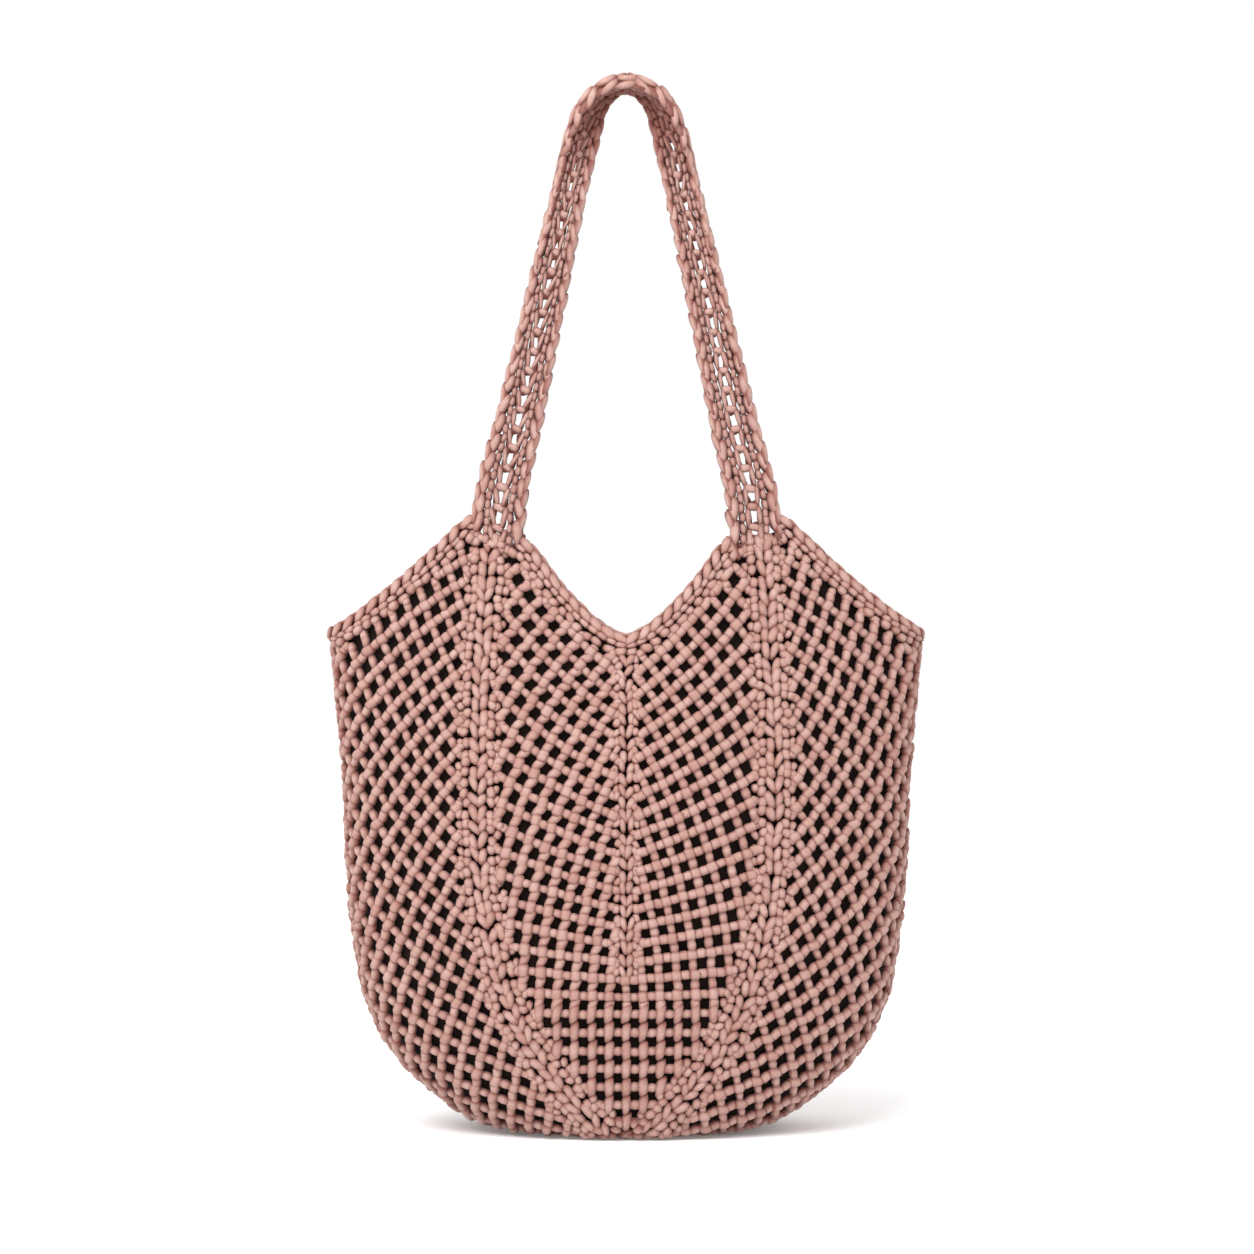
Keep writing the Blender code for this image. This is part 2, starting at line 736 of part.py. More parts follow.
def build_strap(side, material):
    right = strap_stations(side)
    left = []
    for station in reversed(right[1:]):
        left.append({"middle": station["middle"] * MIRROR, "out": station["out"] * MIRROR,
                     "face": station["face"] * MIRROR, "width": station["width"]})
    rings = [[turned(q, side) for q in strap_section(station)] for station in left + right]
    count = len(rings[0])
    # Corners of a cross-section round the slot, on the face and on the back
    near_face, far_face, far_back, near_back = (2, 3, 8, 9)
    vertices = [q for ring in rings for q in ring]
    faces = []
    slots = eyelet_segments()
    segments = len(rings) - 1
    for k in range(segments):
        rank = abs(k + 0.5 - segments / 2) - 0.5
        is_slot = int(round(rank)) in slots
        for m in range(count):
            n = (m + 1) % count
            if is_slot and m in (near_face, far_back):
                continue
            faces.append((k * count + m, k * count + n, (k + 1) * count + n, (k + 1) * count + m))
        if is_slot:
            low = k * count
            high = (k + 1) * count
            faces.append((low + near_face, low + near_back, high + near_back, high + near_face))
            faces.append((low + far_back, low + far_face, high + far_face, high + far_back))
    for k in range(1, segments):
        before = int(round(abs(k - 0.5 - segments / 2) - 0.5)) in slots
        after = int(round(abs(k + 0.5 - segments / 2) - 0.5)) in slots
        if before != after:
            ring = k * count
            faces.append((ring + near_face, ring + far_face, ring + far_back, ring + near_back))
    faces.append(tuple(range(count)))
    faces.append(tuple(segments * count + m for m in range(count)))
    return add_object(side["name"] + "_strap", vertices, faces, material)


def build_bag():
    clear_scene()
    yarn = make_material("cotton_yarn", YARN_COLOUR, YARN_ROUGHNESS)
    cloth = make_material("lining_cloth", LINING_COLOUR, LINING_ROUGHNESS)
    front = Lattice(FRONT)
    back = Lattice(BACK)
    build_net(front, "front_net", yarn)
    build_net(back, "back_net", yarn)
    build_base(front, back, yarn)
    for sign, name in ((-1, "left"), (1, "right")):
        build_side_seam(front, back, sign, "side_seam_" + name, yarn)
        build_side_edging(front, back, sign, "side_edging_" + name, yarn)
    for lattice in (front, back):
        build_neck_edging(lattice, yarn)
    for side in (FRONT, BACK):
        build_strap(side, yarn)
    build_lining(front, back, cloth)


build_bag()
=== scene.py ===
"""Crochet tote bag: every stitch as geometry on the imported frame. Metres, the front faces -Y."""
import math

import bpy
import numpy as np
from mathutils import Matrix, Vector


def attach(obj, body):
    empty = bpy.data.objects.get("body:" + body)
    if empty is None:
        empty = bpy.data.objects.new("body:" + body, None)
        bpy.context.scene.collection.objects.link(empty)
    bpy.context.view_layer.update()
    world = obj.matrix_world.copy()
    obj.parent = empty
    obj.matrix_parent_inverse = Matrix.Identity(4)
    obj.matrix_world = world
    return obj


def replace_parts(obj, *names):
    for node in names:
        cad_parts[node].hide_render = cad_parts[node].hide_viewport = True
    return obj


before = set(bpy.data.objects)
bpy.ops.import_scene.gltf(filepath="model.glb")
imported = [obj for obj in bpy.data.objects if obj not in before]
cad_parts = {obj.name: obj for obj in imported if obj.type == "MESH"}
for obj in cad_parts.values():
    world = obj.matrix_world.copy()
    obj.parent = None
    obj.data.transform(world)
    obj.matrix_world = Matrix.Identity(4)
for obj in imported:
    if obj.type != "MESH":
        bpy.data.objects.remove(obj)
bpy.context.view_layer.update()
random = np.random.default_rng(11)

# Sizes of the frame
BODY_WIDTH = 0.400
BODY_DEPTH = 0.144
SHOULDER_HEIGHT = 0.405
WALL = 0.008
NECK_DIP_HEIGHT = 0.3235
STRAP_INNER_HEIGHT = 0.387
STRAP_OUTER_HEIGHT = 0.4025
CORNER_HEIGHT = 0.327
NECK_POWER = 1.6
SLOPE_POWER = 1.27
STRAP_INNER = 0.069
STRAP_WIDTH = 0.0335
STRAP_THICKNESS = 0.009
STRAP_APEX_HEIGHT = 0.697
STRAP_APEX_OFFSET = 0.0158
STRAP_TAIL = 0.012  # how far a strap's stitches run on into the net
TAIL_WIDTH = 0.96  # share of the foot's width there
SECTION_POWER = 0.8
# Shares of the shoulder height, the width and the depth
SECTIONS = (
    (0.000, 0.34, 0.70),
    (0.003, 0.42, 0.79),
    (0.015, 0.51, 0.865),
    (0.047, 0.62, 0.925),
    (0.114, 0.77, 0.972),
    (0.212, 0.88, 1.00),
    (0.311, 0.92, 0.993),
    (0.444, 0.945, 0.944),
    (0.578, 0.957, 0.861),
    (0.709, 0.980, 0.757),
    (0.830, 1.000, 0.653),
    (1.000, 1.020, 0.530),
)
# Shares of a leg's rise, of its foot's place and width, and of a quarter turn
STRAP_ROWS = np.array((
    (0.000, 1.000, 1.00, 0.00),
    (0.077, 0.980, 0.94, 0.00),
    (0.242, 0.849, 0.86, 0.00),
    (0.408, 0.720, 0.78, 0.00),
    (0.627, 0.553, 0.69, 0.00),
    (0.737, 0.465, 0.64, 0.04),
    (0.847, 0.377, 0.66, 0.26),
    (0.902, 0.322, 0.72, 0.50),
    (0.942, 0.267, 0.77, 0.70),
    (0.972, 0.195, 0.80, 0.86),
    (1.000, 0.000, 0.82, 1.00),
))
# The back strap leans out by spread and rise, and its stitches are shifted
FRONT = {"name": "front", "spread": 0.0, "rise": 0.0, "turn": 1.0, "stitch_shift": 0.0}
BACK = {"name": "back", "spread": 0.0027, "rise": 0.0055, "turn": -1.0, "stitch_shift": 0.0029}

# Points that the surface and the lines on it are read at
LEVEL_COUNT = 401
ANGLE_COUNT = 181
SHARE_COUNT = 141
SEAM_COUNT = 300
RIM_COUNT = 500
BORDER_COUNT = 240
NEARBY = 0.002  # directions are read this far behind and ahead

# Net of the middle panels
PITCH = 0.0112  # cells at the middle of the front
ROW_PITCH = 0.0121  # rows of the straight net at the bottom
TURN_RATE = 3.1  # radians a metre that its rows turn by
EVEN_OUT = 2.3  # keeps its columns from spreading, per metre
STRAIGHT_HEIGHT = 0.084  # the rows are level here and below
UPRIGHT_ROWS = 1.3  # the upright strands lie on top below this row
ROPE_ROWS = 0.3  # and are ropes below this one
MIDDLE_SPANS = ((0, 24), (-10, 30))
QUARTERS = 4  # steps to a cell

# Net of the outer panels
OUTER_PITCH = 0.0140  # cells beside the sides, at the bottom
OUTER_MIDDLE = 0.150  # it is measured from this far off the middle
OUTER_TURN_RATE = 2.6  # radians a metre that it turns by on its way up
OUTER_LEAN = math.radians(15)  # of its strands that run up and out, at the bottom
OUTER_CROSSING = math.radians(81)
OUTER_EVEN_OUT = 2.2
OUTER_NARROWING = 0.45  # share of its width that it loses a metre, on its way up
OUTER_SLIM = 0.93  # its strands are slimmer than the middle ones
OUTER_SPANS = ((-20, 34), (-10, 40))
ZIGZAG = {1: 0.27, -1: 0.14}  # how far its top strands wind, on the right and on the left

# Half sizes of the net's beads: share of the cell's length, across and out; then the depth of their middles
ROPE_SIZE = (0.56, 0.0033, 0.0034)
ROPE_DEPTH = 0.0035
BLOCK_SIZE = (0.345, 0.0036, 0.0034)
BLOCK_DEPTH = 0.0034
BALL_SIZE = (0.38, 0.0034, 0.0032)
BALL_DEPTH = 0.0040
STUB_SIZE = (0.41, 0.0030, 0.0029)
STUB_DEPTH = 0.0046
LEAFY_EXTRA = 0.05  # the leaves of the left middle panel are longer than balls
LEAFY_BEND = -0.0011
END_SHORTER = 0.13  # the last beads before a border are shorter
ROPE_TILT = 0.10  # each leaf of the ropes dives under the next one
ROPE_TURN = -0.03

# Borders of the net
SEAM_BAND = 0.0115  # half the width of the leaf bands
SPINE_BAND = 0.0066
SIDE_BAND = 0.010
SPINE_FOOT = 0.112  # the middle spine ends here
FOOT_CLEARANCE = 0.0015
RIM_CLEARANCE = 0.0078  # how near to the borders the net's beads come
BAND_CLEARANCE = 0.0012
SPINE_CLEARANCE = 0.0015
SLACK = (0.0, 0.0024, 0.0012, 0.0024)  # how much nearer each quarter of a cell may come
SEAM_TOP = 0.403
BAND_FOOT = 0.004
BAND_TOP = 0.397
SPINE_OVERLAP = 0.004
SPINE_TOP_GAP = 0.012
SEAM_LINE = ((0.000, 0.010), (0.008, 0.018), (0.025, 0.035), (0.055, 0.058), (0.090, 0.077),
             (0.125, 0.088), (0.167, 0.095), (0.247, 0.098), (0.325, 0.095), (0.402, 0.090))

# Edging
EDGING_SPACING = 0.0098
CORD_SPACING = 0.0070
EDGING_OVERLAP = 0.004  # how far the edgings run on under the straps
SIDE_REACH = 0.21  # past the body's corners
RIM_NEARBY = 0.003

# Straps
STRAP_STATIONS = 241
TOP_ROUNDING = 0.0080
TOP_LIFT = 0.0040
# The strap's front face gets painted shade near its top, where it looks down
UNDERSIDE_REACH = 0.08  # how far from its top the strap's front face looks down
UNDERSIDE_PAINTED_SHADE = 0.75
CHAIN_SPACING = 0.0134
CHAIN_REACH = 0.003  # how far the chain stitches run on past the foot
SMALL_SPACING = 0.0064
SLIMMEST_STITCH = 0.0014

# Lining
LINING_AROUND = 240
LINING_ROWS = 110
LINING_GAP = 0.0006  # least space between the wall and the lining
LINING_THICKNESS = 0.0012
LINING_WAVE = 0.0004

# How much the stitches differ
TURN_SPREAD = 0.07
SIZE_SPREAD = 0.045
MOST_SIZE_SPREAD = 0.12
PLACE_SPREAD = 0.00022
TONE_SPREAD = 0.17
COLUMN_SPREAD = (0.0009, 0.0005, 0.12)  # along, across, and in radians
MOST_COLUMN_SPREAD = 1.8
FLOOR_CLEARANCE = 0.0035


def smooth_curve(knots, values, at):
    """Cubic through the knots, with the slopes of their neighbours."""
    knots = np.asarray(knots, float)
    values = np.asarray(values, float)
    slopes = np.gradient(values, knots)
    at = np.clip(at, knots[0], knots[-1])
    k = np.clip(np.searchsorted(knots, at, side="right") - 1, 0, len(knots) - 2)
    span = knots[k + 1] - knots[k]
    u = (at - knots[k]) / span
    return ((2 * u**3 - 3 * u**2 + 1) * values[k] + (u**3 - 2 * u**2 + u) * span * slopes[k]
            + (-2 * u**3 + 3 * u**2) * values[k + 1] + (u**3 - u**2) * span * slopes[k + 1])


def unit(v):
    return v / np.maximum(np.linalg.norm(v, axis=-1, keepdims=True), 1e-12)


def summed(steps):
    return np.concatenate(([0.0], np.cumsum(steps)))


def run_along(points):
    """Lengths along a line of points, from its first one."""
    return summed(np.linalg.norm(np.diff(points, axis=0), axis=1))


def vectors(at, run, table):
    """Vectors of a table at lengths along its line."""
    return np.stack([np.interp(at, run, table[:, k]) for k in range(3)], axis=1)


def directions(at, run, points, reach):
    """Directions of a line, from points a reach behind to points a reach ahead."""
    return unit(vectors(at + reach, run, points) - vectors(at - reach, run, points))


class Surface:
    """Outer surface of the body by place across, 0 front middle, 1 side, 2 back middle, and level."""

    def __init__(self):
        table = np.array(SECTIONS)
        heights = table[:, 0] * SHOULDER_HEIGHT
        widths = table[:, 1] * BODY_WIDTH / 2
        depths = table[:, 2] * BODY_DEPTH / 2
        steps = np.hypot(np.diff(heights), np.diff(widths + depths) / 2)
        knots = summed(steps)
        knots /= knots[-1]
        self.levels = np.linspace(0.0, 1.0, LEVEL_COUNT)
        self.heights = smooth_curve(knots, heights, self.levels)
        self.half_widths = smooth_curve(knots, widths, self.levels)
        self.half_depths = smooth_curve(knots, depths, self.levels)
        angles = np.linspace(0.0, math.pi / 2, ANGLE_COUNT)
        sines = np.sin(angles)
        cosines = np.abs(np.cos(angles)) ** SECTION_POWER
        self.shares = np.linspace(0.0, 1.0, SHARE_COUNT)
        rows = []
        self.girths = []
        for height, width, depth in zip(self.heights, self.half_widths, self.half_depths):
            xs = width * sines
            ys = depth * cosines
            run = summed(np.hypot(np.diff(xs), np.diff(ys)))
            self.girths.append(run[-1])
            x = np.interp(self.shares * run[-1], run, xs)
            y = np.interp(self.shares * run[-1], run, ys)
            rows.append(np.stack((x, -y, np.full_like(x, height)), axis=1))
        self.girths = np.array(self.girths)
        self.grid = np.array(rows)
        along = np.gradient(self.grid, axis=1)
        along[:, 0, 1] = 0.0
        along[:, -1, 0] = 0.0
        up = np.gradient(self.grid, axis=0)
        self.normals = unit(np.cross(along, up))
        self.front_run = summed(np.hypot(np.diff(self.heights), np.diff(self.half_depths)))

    def sample(self, across, level):
        """Points and outward directions of the surface."""
        across = np.asarray(across, float)
        level = np.asarray(level, float)
        side = np.where(across < 0, -1.0, 1.0)
        place = np.abs(across)
        back = place > 1.0
        place = np.where(back, 2.0 - place, place)
        fr = np.clip(level, 0, 1) * (len(self.levels) - 1)
        r = np.clip(fr.astype(int), 0, len(self.levels) - 2)
        fr = (fr - r)[..., None]
        fc = np.clip(place, 0, 1) * (len(self.shares) - 1)
        c = np.clip(fc.astype(int), 0, len(self.shares) - 2)
        fc = (fc - c)[..., None]
        mirror = np.stack((side, np.where(back, -1.0, 1.0), np.ones_like(side)), axis=-1)
        point, normal = (((table[r, c] * (1 - fc) + table[r, c + 1] * fc) * (1 - fr)
                          + (table[r + 1, c] * (1 - fc) + table[r + 1, c + 1] * fc) * fr) * mirror
                         for table in (self.grid, self.normals))
        return point, unit(normal)

    def girth(self, level):
        return np.interp(level, self.levels, self.girths)

    def level_at(self, height):
        return np.interp(height, self.heights, self.levels)

    def across_at(self, x, level):
        r = round(level * (len(self.levels) - 1))
        return np.interp(x, self.grid[r, :, 0], self.shares)


SURFACE = Surface()


def turned(points, side):
    """Points or directions of the front, half a turn round for the back."""
    return points * np.array((side["turn"], side["turn"], 1.0))


# Rim of the net

def rim_height(x, side):
    x = np.abs(x)
    inner = STRAP_INNER + side["spread"]
    outer = inner + STRAP_WIDTH
    neck = NECK_DIP_HEIGHT + (STRAP_INNER_HEIGHT - NECK_DIP_HEIGHT) * np.minimum(x / inner, 1) ** NECK_POWER
    under = STRAP_INNER_HEIGHT + (STRAP_OUTER_HEIGHT - STRAP_INNER_HEIGHT) * (x - inner) / STRAP_WIDTH
    share = np.clip((BODY_WIDTH / 2 - x) / (BODY_WIDTH / 2 - outer), 0, 1)
    slope = CORNER_HEIGHT + (STRAP_OUTER_HEIGHT - CORNER_HEIGHT) * share ** SLOPE_POWER
    return np.where(x <= inner, neck, np.where(x <= outer, under, slope))


def rim_level(across, side):
    level = np.full(np.shape(across), SURFACE.level_at(STRAP_INNER_HEIGHT))
    rounds = 14
    for _ in range(rounds):
        points, _ = SURFACE.sample(across, level)
        level = SURFACE.level_at(rim_height(points[..., 0], side))
    return level


# Beads

def bead_shape(around, rings, blunt, square, lean=0.0, tip=1.0):
    """A closed bead along x, half sizes 1. Blunt and square below 1 make its ends and section boxier."""
    vertices = [(-1.0, 0.0, 0.0)]
    for k in range(rings):
        a = math.pi * (k + 1) / (rings + 1)
        x = -math.copysign(abs(math.cos(a)) ** blunt, math.cos(a))
        r = math.sin(a) ** (blunt * tip) * (1.0 + lean * x)
        for m in range(around):
            b = 2 * math.pi * (m + 0.5) / around
            y = math.copysign(abs(math.cos(b)) ** square, math.cos(b))
            z = math.copysign(abs(math.sin(b)) ** square, math.sin(b))
            vertices.append((x, r * y, r * z))
    vertices.append((1.0, 0.0, 0.0))
    faces = []
    last = len(vertices) - 1
    for m in range(around):
        n = (m + 1) % around
        faces.append((1 + n, 1 + m, 0))
        for k in range(rings - 1):
            low = 1 + k * around
            high = low + around
            faces.append((low + m, low + n, high + n, high + m))
        top = 1 + (rings - 1) * around
        faces.append((top + m, top + n, last))
    return np.array(vertices), faces


def slanted(shape, slant):
    """The bead with slanting ends, so that a row of them looks twisted."""
    vertices, faces = shape
    vertices = vertices.copy()
    vertices[:, 0] += slant * vertices[:, 1]
    return vertices, faces


def varied(shape, count, amount, seed):
    """Copies of a bead, each dented a little differently."""
    vertices, faces = shape
    dice = np.random.default_rng(seed)
    waves = 5
    pitch = 2.2
    full_turn = 6.28
    height = 2.2
    copies = []
    for _ in range(count):
        bumps = np.zeros(len(vertices))
        for _ in range(waves):
            direction = dice.normal(size=3) * pitch
            bumps += np.sin(vertices @ direction + dice.uniform(0, full_turn))
        copies.append((vertices * (1 + amount * bumps[:, None] / height), faces))
    return copies


BLOCK = varied(bead_shape(8, 4, 0.66, 0.82), 6, 0.07, 1)
BALL = varied(bead_shape(8, 4, 0.84, 0.92), 6, 0.07, 2)
STUB = varied(bead_shape(8, 3, 0.55, 0.85), 5, 0.06, 3)
LEAF = varied(bead_shape(8, 5, 0.90, 0.95, 0.22, 0.85), 5, 0.05, 4)
MIXED = LEAF + BALL[:2]
LONG_LEAF = varied(bead_shape(10, 7, 1.0, 0.95, 0.15, 1.0), 6, 0.05, 5)
ROPE = varied(slanted(bead_shape(8, 5, 0.66, 0.90, 0.12), -0.22), 5, 0.05, 6)

# Columns of stitches beside a line: offset, spacing, lean, half sizes, beads, depth of their middles
BAND_COLUMNS = (
    (0.0027, 0.0088, 0.32, (0.0062, 0.0030, 0.0031), MIXED, 0.0032),
    (0.0082, 0.0064, -0.35, (0.0039, 0.0031, 0.0031), BALL, 0.0038),
    (0.0122, 0.0078, 0.50, (0.0034, 0.0027, 0.0026), BALL, 0.0048),
)
SPINE_COLUMNS = (
    (0.0022, 0.0078, 0.35, (0.0049, 0.0024, 0.0028), LEAF, 0.0034),
    (0.0062, 0.0060, -0.50, (0.0034, 0.0025, 0.0028), BALL, 0.0040),
)
SIDE_COLUMNS = (
    (0.0026, 0.0094, 0.30, (0.0064, 0.0029, 0.0030), LEAF, 0.0034),
    (0.0080, 0.0066, -0.30, (0.0040, 0.0029, 0.0030), BALL, 0.0038),
)
RIM_COLUMN = (0.0034, 0.0074, 0.12, (0.0043, 0.0031, 0.0033), BALL, 0.0036)


class Beads:
    """Collects beads of one piece and joins them into one mesh."""

    def __init__(self, name):
        self.name = name
        self.groups = []

    @staticmethod
    def painted_shade_lifts(vertices):
        """Painted shade: 1 on a bead's back, 0 in the creases at its ends and underside, where shade falls.
        """
        crease = -0.06
        end_painted_shade = 0.95
        height = np.clip(vertices[:, 2] - crease, 0, 1)
        ends = 1.0 - end_painted_shade * np.abs(vertices[:, 0]) ** 3
        return height * height * (3 - 2 * height) * ends

    def add(self, shapes, centre, along, out, size, bend=0.0, rough=1.0, tilt=0.0, turn=0.0, shade=1.0):
        """Beads of half sizes size (along, across, out), bent sideways into an S by bend.

        A shade below 1 paints more shade on them, nearer to the painted crease shade colour.
        """
        centre = np.atleast_2d(centre)
        count = len(centre)
        if count == 0:
            return
        out = unit(np.broadcast_to(out, (count, 3)))
        along = np.broadcast_to(along, (count, 3))
        along = unit(along - out * np.sum(along * out, axis=1, keepdims=True))
        angle = turn + random.normal(0, TURN_SPREAD * rough, (count, 1))
        tilt = tilt + random.normal(0, TURN_SPREAD * rough, (count, 1))
        across = np.cross(out, along)
        along = unit(along + across * np.tan(angle) + out * np.tan(tilt))
        across = unit(np.cross(out, along))
        out = np.cross(along, across)
        size = np.broadcast_to(np.asarray(size, float), (count, 3))
        stray = random.normal(0, SIZE_SPREAD * rough, (count, 3))
        size = size * (1 + stray.clip(-MOST_SIZE_SPREAD, MOST_SIZE_SPREAD))
        centre = centre + random.normal(0, PLACE_SPREAD * rough, (count, 3))
        bend = np.broadcast_to(np.asarray(bend, float), (count,))
        shade = np.broadcast_to(np.asarray(shade, float), (count,))
        kind = random.integers(0, len(shapes), count)
        s_curve = 1.9
        for k, (vertices, faces) in enumerate(shapes):
            pick = kind == k
            if not pick.any():
                continue
            half = size[pick, None]
            x = vertices[None, :, 0:1]
            y = vertices[None, :, 1:2] * half[..., 1:2]
            y = y + bend[pick, None, None] * np.sin(x * s_curve)
            points = (centre[pick, None] + along[pick, None] * x * half[..., 0:1]
                      + across[pick, None] * y + out[pick, None] * vertices[None, :, 2:3] * half[..., 2:3])
            tone = random.normal(0.5, TONE_SPREAD, (len(points), 1)).clip(0, 1)
            # Painted shade: darker towards each bead's creases and ends, scaled by shade
            shade_lift = self.painted_shade_lifts(vertices)[None] * shade[pick, None]
            paint = np.stack((shade_lift, np.broadcast_to(tone, shade_lift.shape)), axis=2)
            self.groups.append((points, faces, paint))

    def build(self, material, slot="yarn"):
        vertices = []
        loops = []
        starts = []
        base = 0
        loop_base = 0
        paints = []
        for points, faces, paint in self.groups:
            paints.append(paint.reshape(-1, 2))
            count, size = points.shape[:2]
            vertices.append(points.reshape(-1, 3))
            flat, offsets = flattened(faces)
            steps = np.arange(count)[:, None]
            loops.append((flat[None] + base + steps * size).ravel())
            starts.append((offsets[None] + loop_base + steps * len(flat)).ravel())
            base += count * size
            loop_base += count * len(flat)
        piece = make_mesh(self.name, np.concatenate(vertices), np.concatenate(loops),
                          np.concatenate(starts), material, slot)
        shade_lift, tone = np.concatenate(paints).T
        colours = np.stack((shade_lift, tone, np.zeros_like(shade_lift), np.ones_like(shade_lift)), axis=1)
        # The red channel is painted crease shade, the green one a random tone
        layer = piece.data.color_attributes.new("yarn_painted_shade_and_tone", "FLOAT_COLOR", "POINT")
        layer.data.foreach_set("color", colours.astype(np.float32).ravel())
        return piece


def flattened(faces):
    """The corners of faces in one row, and where each face starts in it."""
    corners = np.array([v for face in faces for v in face])
    lengths = np.array([len(face) for face in faces])
    return corners, np.cumsum(lengths) - lengths


def show(item):
    bpy.context.scene.collection.objects.link(item)


def make_mesh(name, vertices, loops, starts, material, slot):
    mesh = bpy.data.meshes.new(name)
    mesh.vertices.add(len(vertices))
    mesh.vertices.foreach_set("co", np.ascontiguousarray(vertices, np.float32).ravel())
    mesh.loops.add(len(loops))
    mesh.loops.foreach_set("vertex_index", loops.astype(np.int32))
    mesh.polygons.add(len(starts))
    mesh.polygons.foreach_set("loop_start", starts.astype(np.int32))
    mesh.update(calc_edges=True)
    mesh.validate()
    mesh.shade_smooth()
    mesh.materials.append(material)
    piece = bpy.data.objects.new(name, mesh)
    show(piece)
    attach(piece, "root")
    return piece


# Materials

def set_inputs(node, values):
    for socket, value in values.items():
        node.inputs[socket].default_value = value


class Finish:
    """A material under way: its shader and the nodes that are linked to it."""

    def __init__(self, name, roughness, specular, sheen):
        self.material = bpy.data.materials.new(name)
        self.material.use_nodes = True
        self.nodes = self.material.node_tree.nodes
        self.link = self.material.node_tree.links.new
        self.shader = self.nodes["Principled BSDF"]
        values = {"Roughness": roughness, "Specular IOR Level": specular, "Sheen Weight": sheen}
        set_inputs(self.shader, values)
        self.coordinates = self.nodes.new("ShaderNodeTexCoord").outputs["Object"]

    def texture(self, kind, **values):
        """A texture of the object's own coordinates."""
        node = self.nodes.new(kind)
        set_inputs(node, values)
        self.link(self.coordinates, node.inputs["Vector"])
        return node

    def multiply_add(self, source, factor, addend):
        node = self.nodes.new("ShaderNodeMath")
        node.operation = "MULTIPLY_ADD"
        node.inputs[1].default_value = factor
        self.link(source, node.inputs[0])
        self.link(addend, node.inputs[2])
        return node.outputs["Value"]

    def ramp(self, source, start, dark, light):
        node = self.nodes.new("ShaderNodeValToRGB")
        low, high = node.color_ramp.elements
        low.position = start
        low.color = dark
        high.position = 1.0
        high.color = light
        self.link(source, node.inputs["Fac"])
        return node.outputs["Color"]

    def done(self, colour, height, strength, distance):
        """The material, with its colour and its fine relief linked."""
        self.link(colour, self.shader.inputs["Base Color"])
        bump = self.nodes.new("ShaderNodeBump")
        set_inputs(bump, {"Strength": strength, "Distance": distance})
        self.link(height, bump.inputs["Height"])
        self.link(bump.outputs["Normal"], self.shader.inputs["Normal"])
        return self.material


def yarn_material():
    """Cotton yarn: red is painted shade, from 0 in a stitch's creases to 1 on its back, green its random
    tone.
    """
    finish = Finish("cotton_yarn_with_painted_shade", roughness=0.62, specular=0.32, sheen=0.12)
    paint = finish.nodes.new("ShaderNodeAttribute")
    paint.attribute_name = "yarn_painted_shade_and_tone"
    channels = finish.nodes.new("ShaderNodeSeparateColor")
    finish.link(paint.outputs["Color"], channels.inputs["Color"])
    patches = finish.texture("ShaderNodeTexNoise", Scale=160, Detail=2)
    tone = finish.multiply_add(channels.outputs["Green"], 0.55, patches.outputs["Fac"])
    backs = finish.ramp(tone, 0.50, (0.362, 0.191, 0.158, 1), (0.446, 0.281, 0.242, 1))
    # Painted shade: the dark crease colour below is mixed in where the red channel is low
    shade_lift = finish.nodes.new("ShaderNodeMix")
    shade_lift.data_type = "RGBA"
    shade_lift.inputs["A"].default_value = (0.150, 0.036, 0.024, 1)
    finish.link(channels.outputs["Red"], shade_lift.inputs["Factor"])
    finish.link(backs, shade_lift.inputs["B"])
    fibres = finish.texture("ShaderNodeTexNoise", Scale=1400, Detail=3).outputs["Fac"]
    grain = finish.nodes.new("ShaderNodeMix")
    grain.data_type = "RGBA"
    grain.blend_type = "OVERLAY"
    grain.inputs["Factor"].default_value = 0.22
    finish.link(shade_lift.outputs["Result"], grain.inputs["A"])
    finish.link(fibres, grain.inputs["B"])
    creases = finish.texture("ShaderNodeTexNoise", Scale=420, Detail=2).outputs["Fac"]
    relief = finish.multiply_add(fibres, 0.35, creases)
    return finish.done(grain.outputs["Result"], relief, 0.35, 0.0006)


def lining_painted_shade_material():
    """Plain-woven cloth, its near-black colour painted shade of the bag's dim inside."""
    finish = Finish("lining_cloth_painted_shade", roughness=0.85, specular=0.2, sheen=0.15)
    weave = finish.nodes.new("ShaderNodeMath")
    weave.operation = "MULTIPLY"
    for place, axis in enumerate(("X", "Z")):
        wave = finish.texture("ShaderNodeTexWave", Scale=300, Distortion=0.6)
        wave.bands_direction = axis
        finish.link(wave.outputs["Fac"], weave.inputs[place])
    patches = finish.texture("ShaderNodeTexNoise", Scale=30)
    tone = finish.multiply_add(weave.outputs["Value"], 0.4, patches.outputs["Fac"])
    # Near-black colours: painted shade of the dim inside, seen through the net's holes
    cloth = finish.ramp(tone, 0.2, (0.006, 0.003, 0.002, 1), (0.026, 0.012, 0.008, 1))
    return finish.done(cloth, weave.outputs["Value"], 0.3, 0.0003)


YARN = yarn_material()
LINING_PAINTED_SHADE = lining_painted_shade_material()


# Lines on the body that the net stops at

def seam_across(levels):
    """Places across of the leaf band at levels."""
    heights = np.interp(levels, SURFACE.levels, SURFACE.heights)
    table = np.array(SEAM_LINE)
    offsets = smooth_curve(table[:, 0], table[:, 1], heights)
    last = len(SURFACE.levels) - 1
    rows = np.round(levels * last).astype(int)
    return np.array([np.interp(x, SURFACE.grid[row, :, 0], SURFACE.shares) for x, row in zip(offsets, rows)])


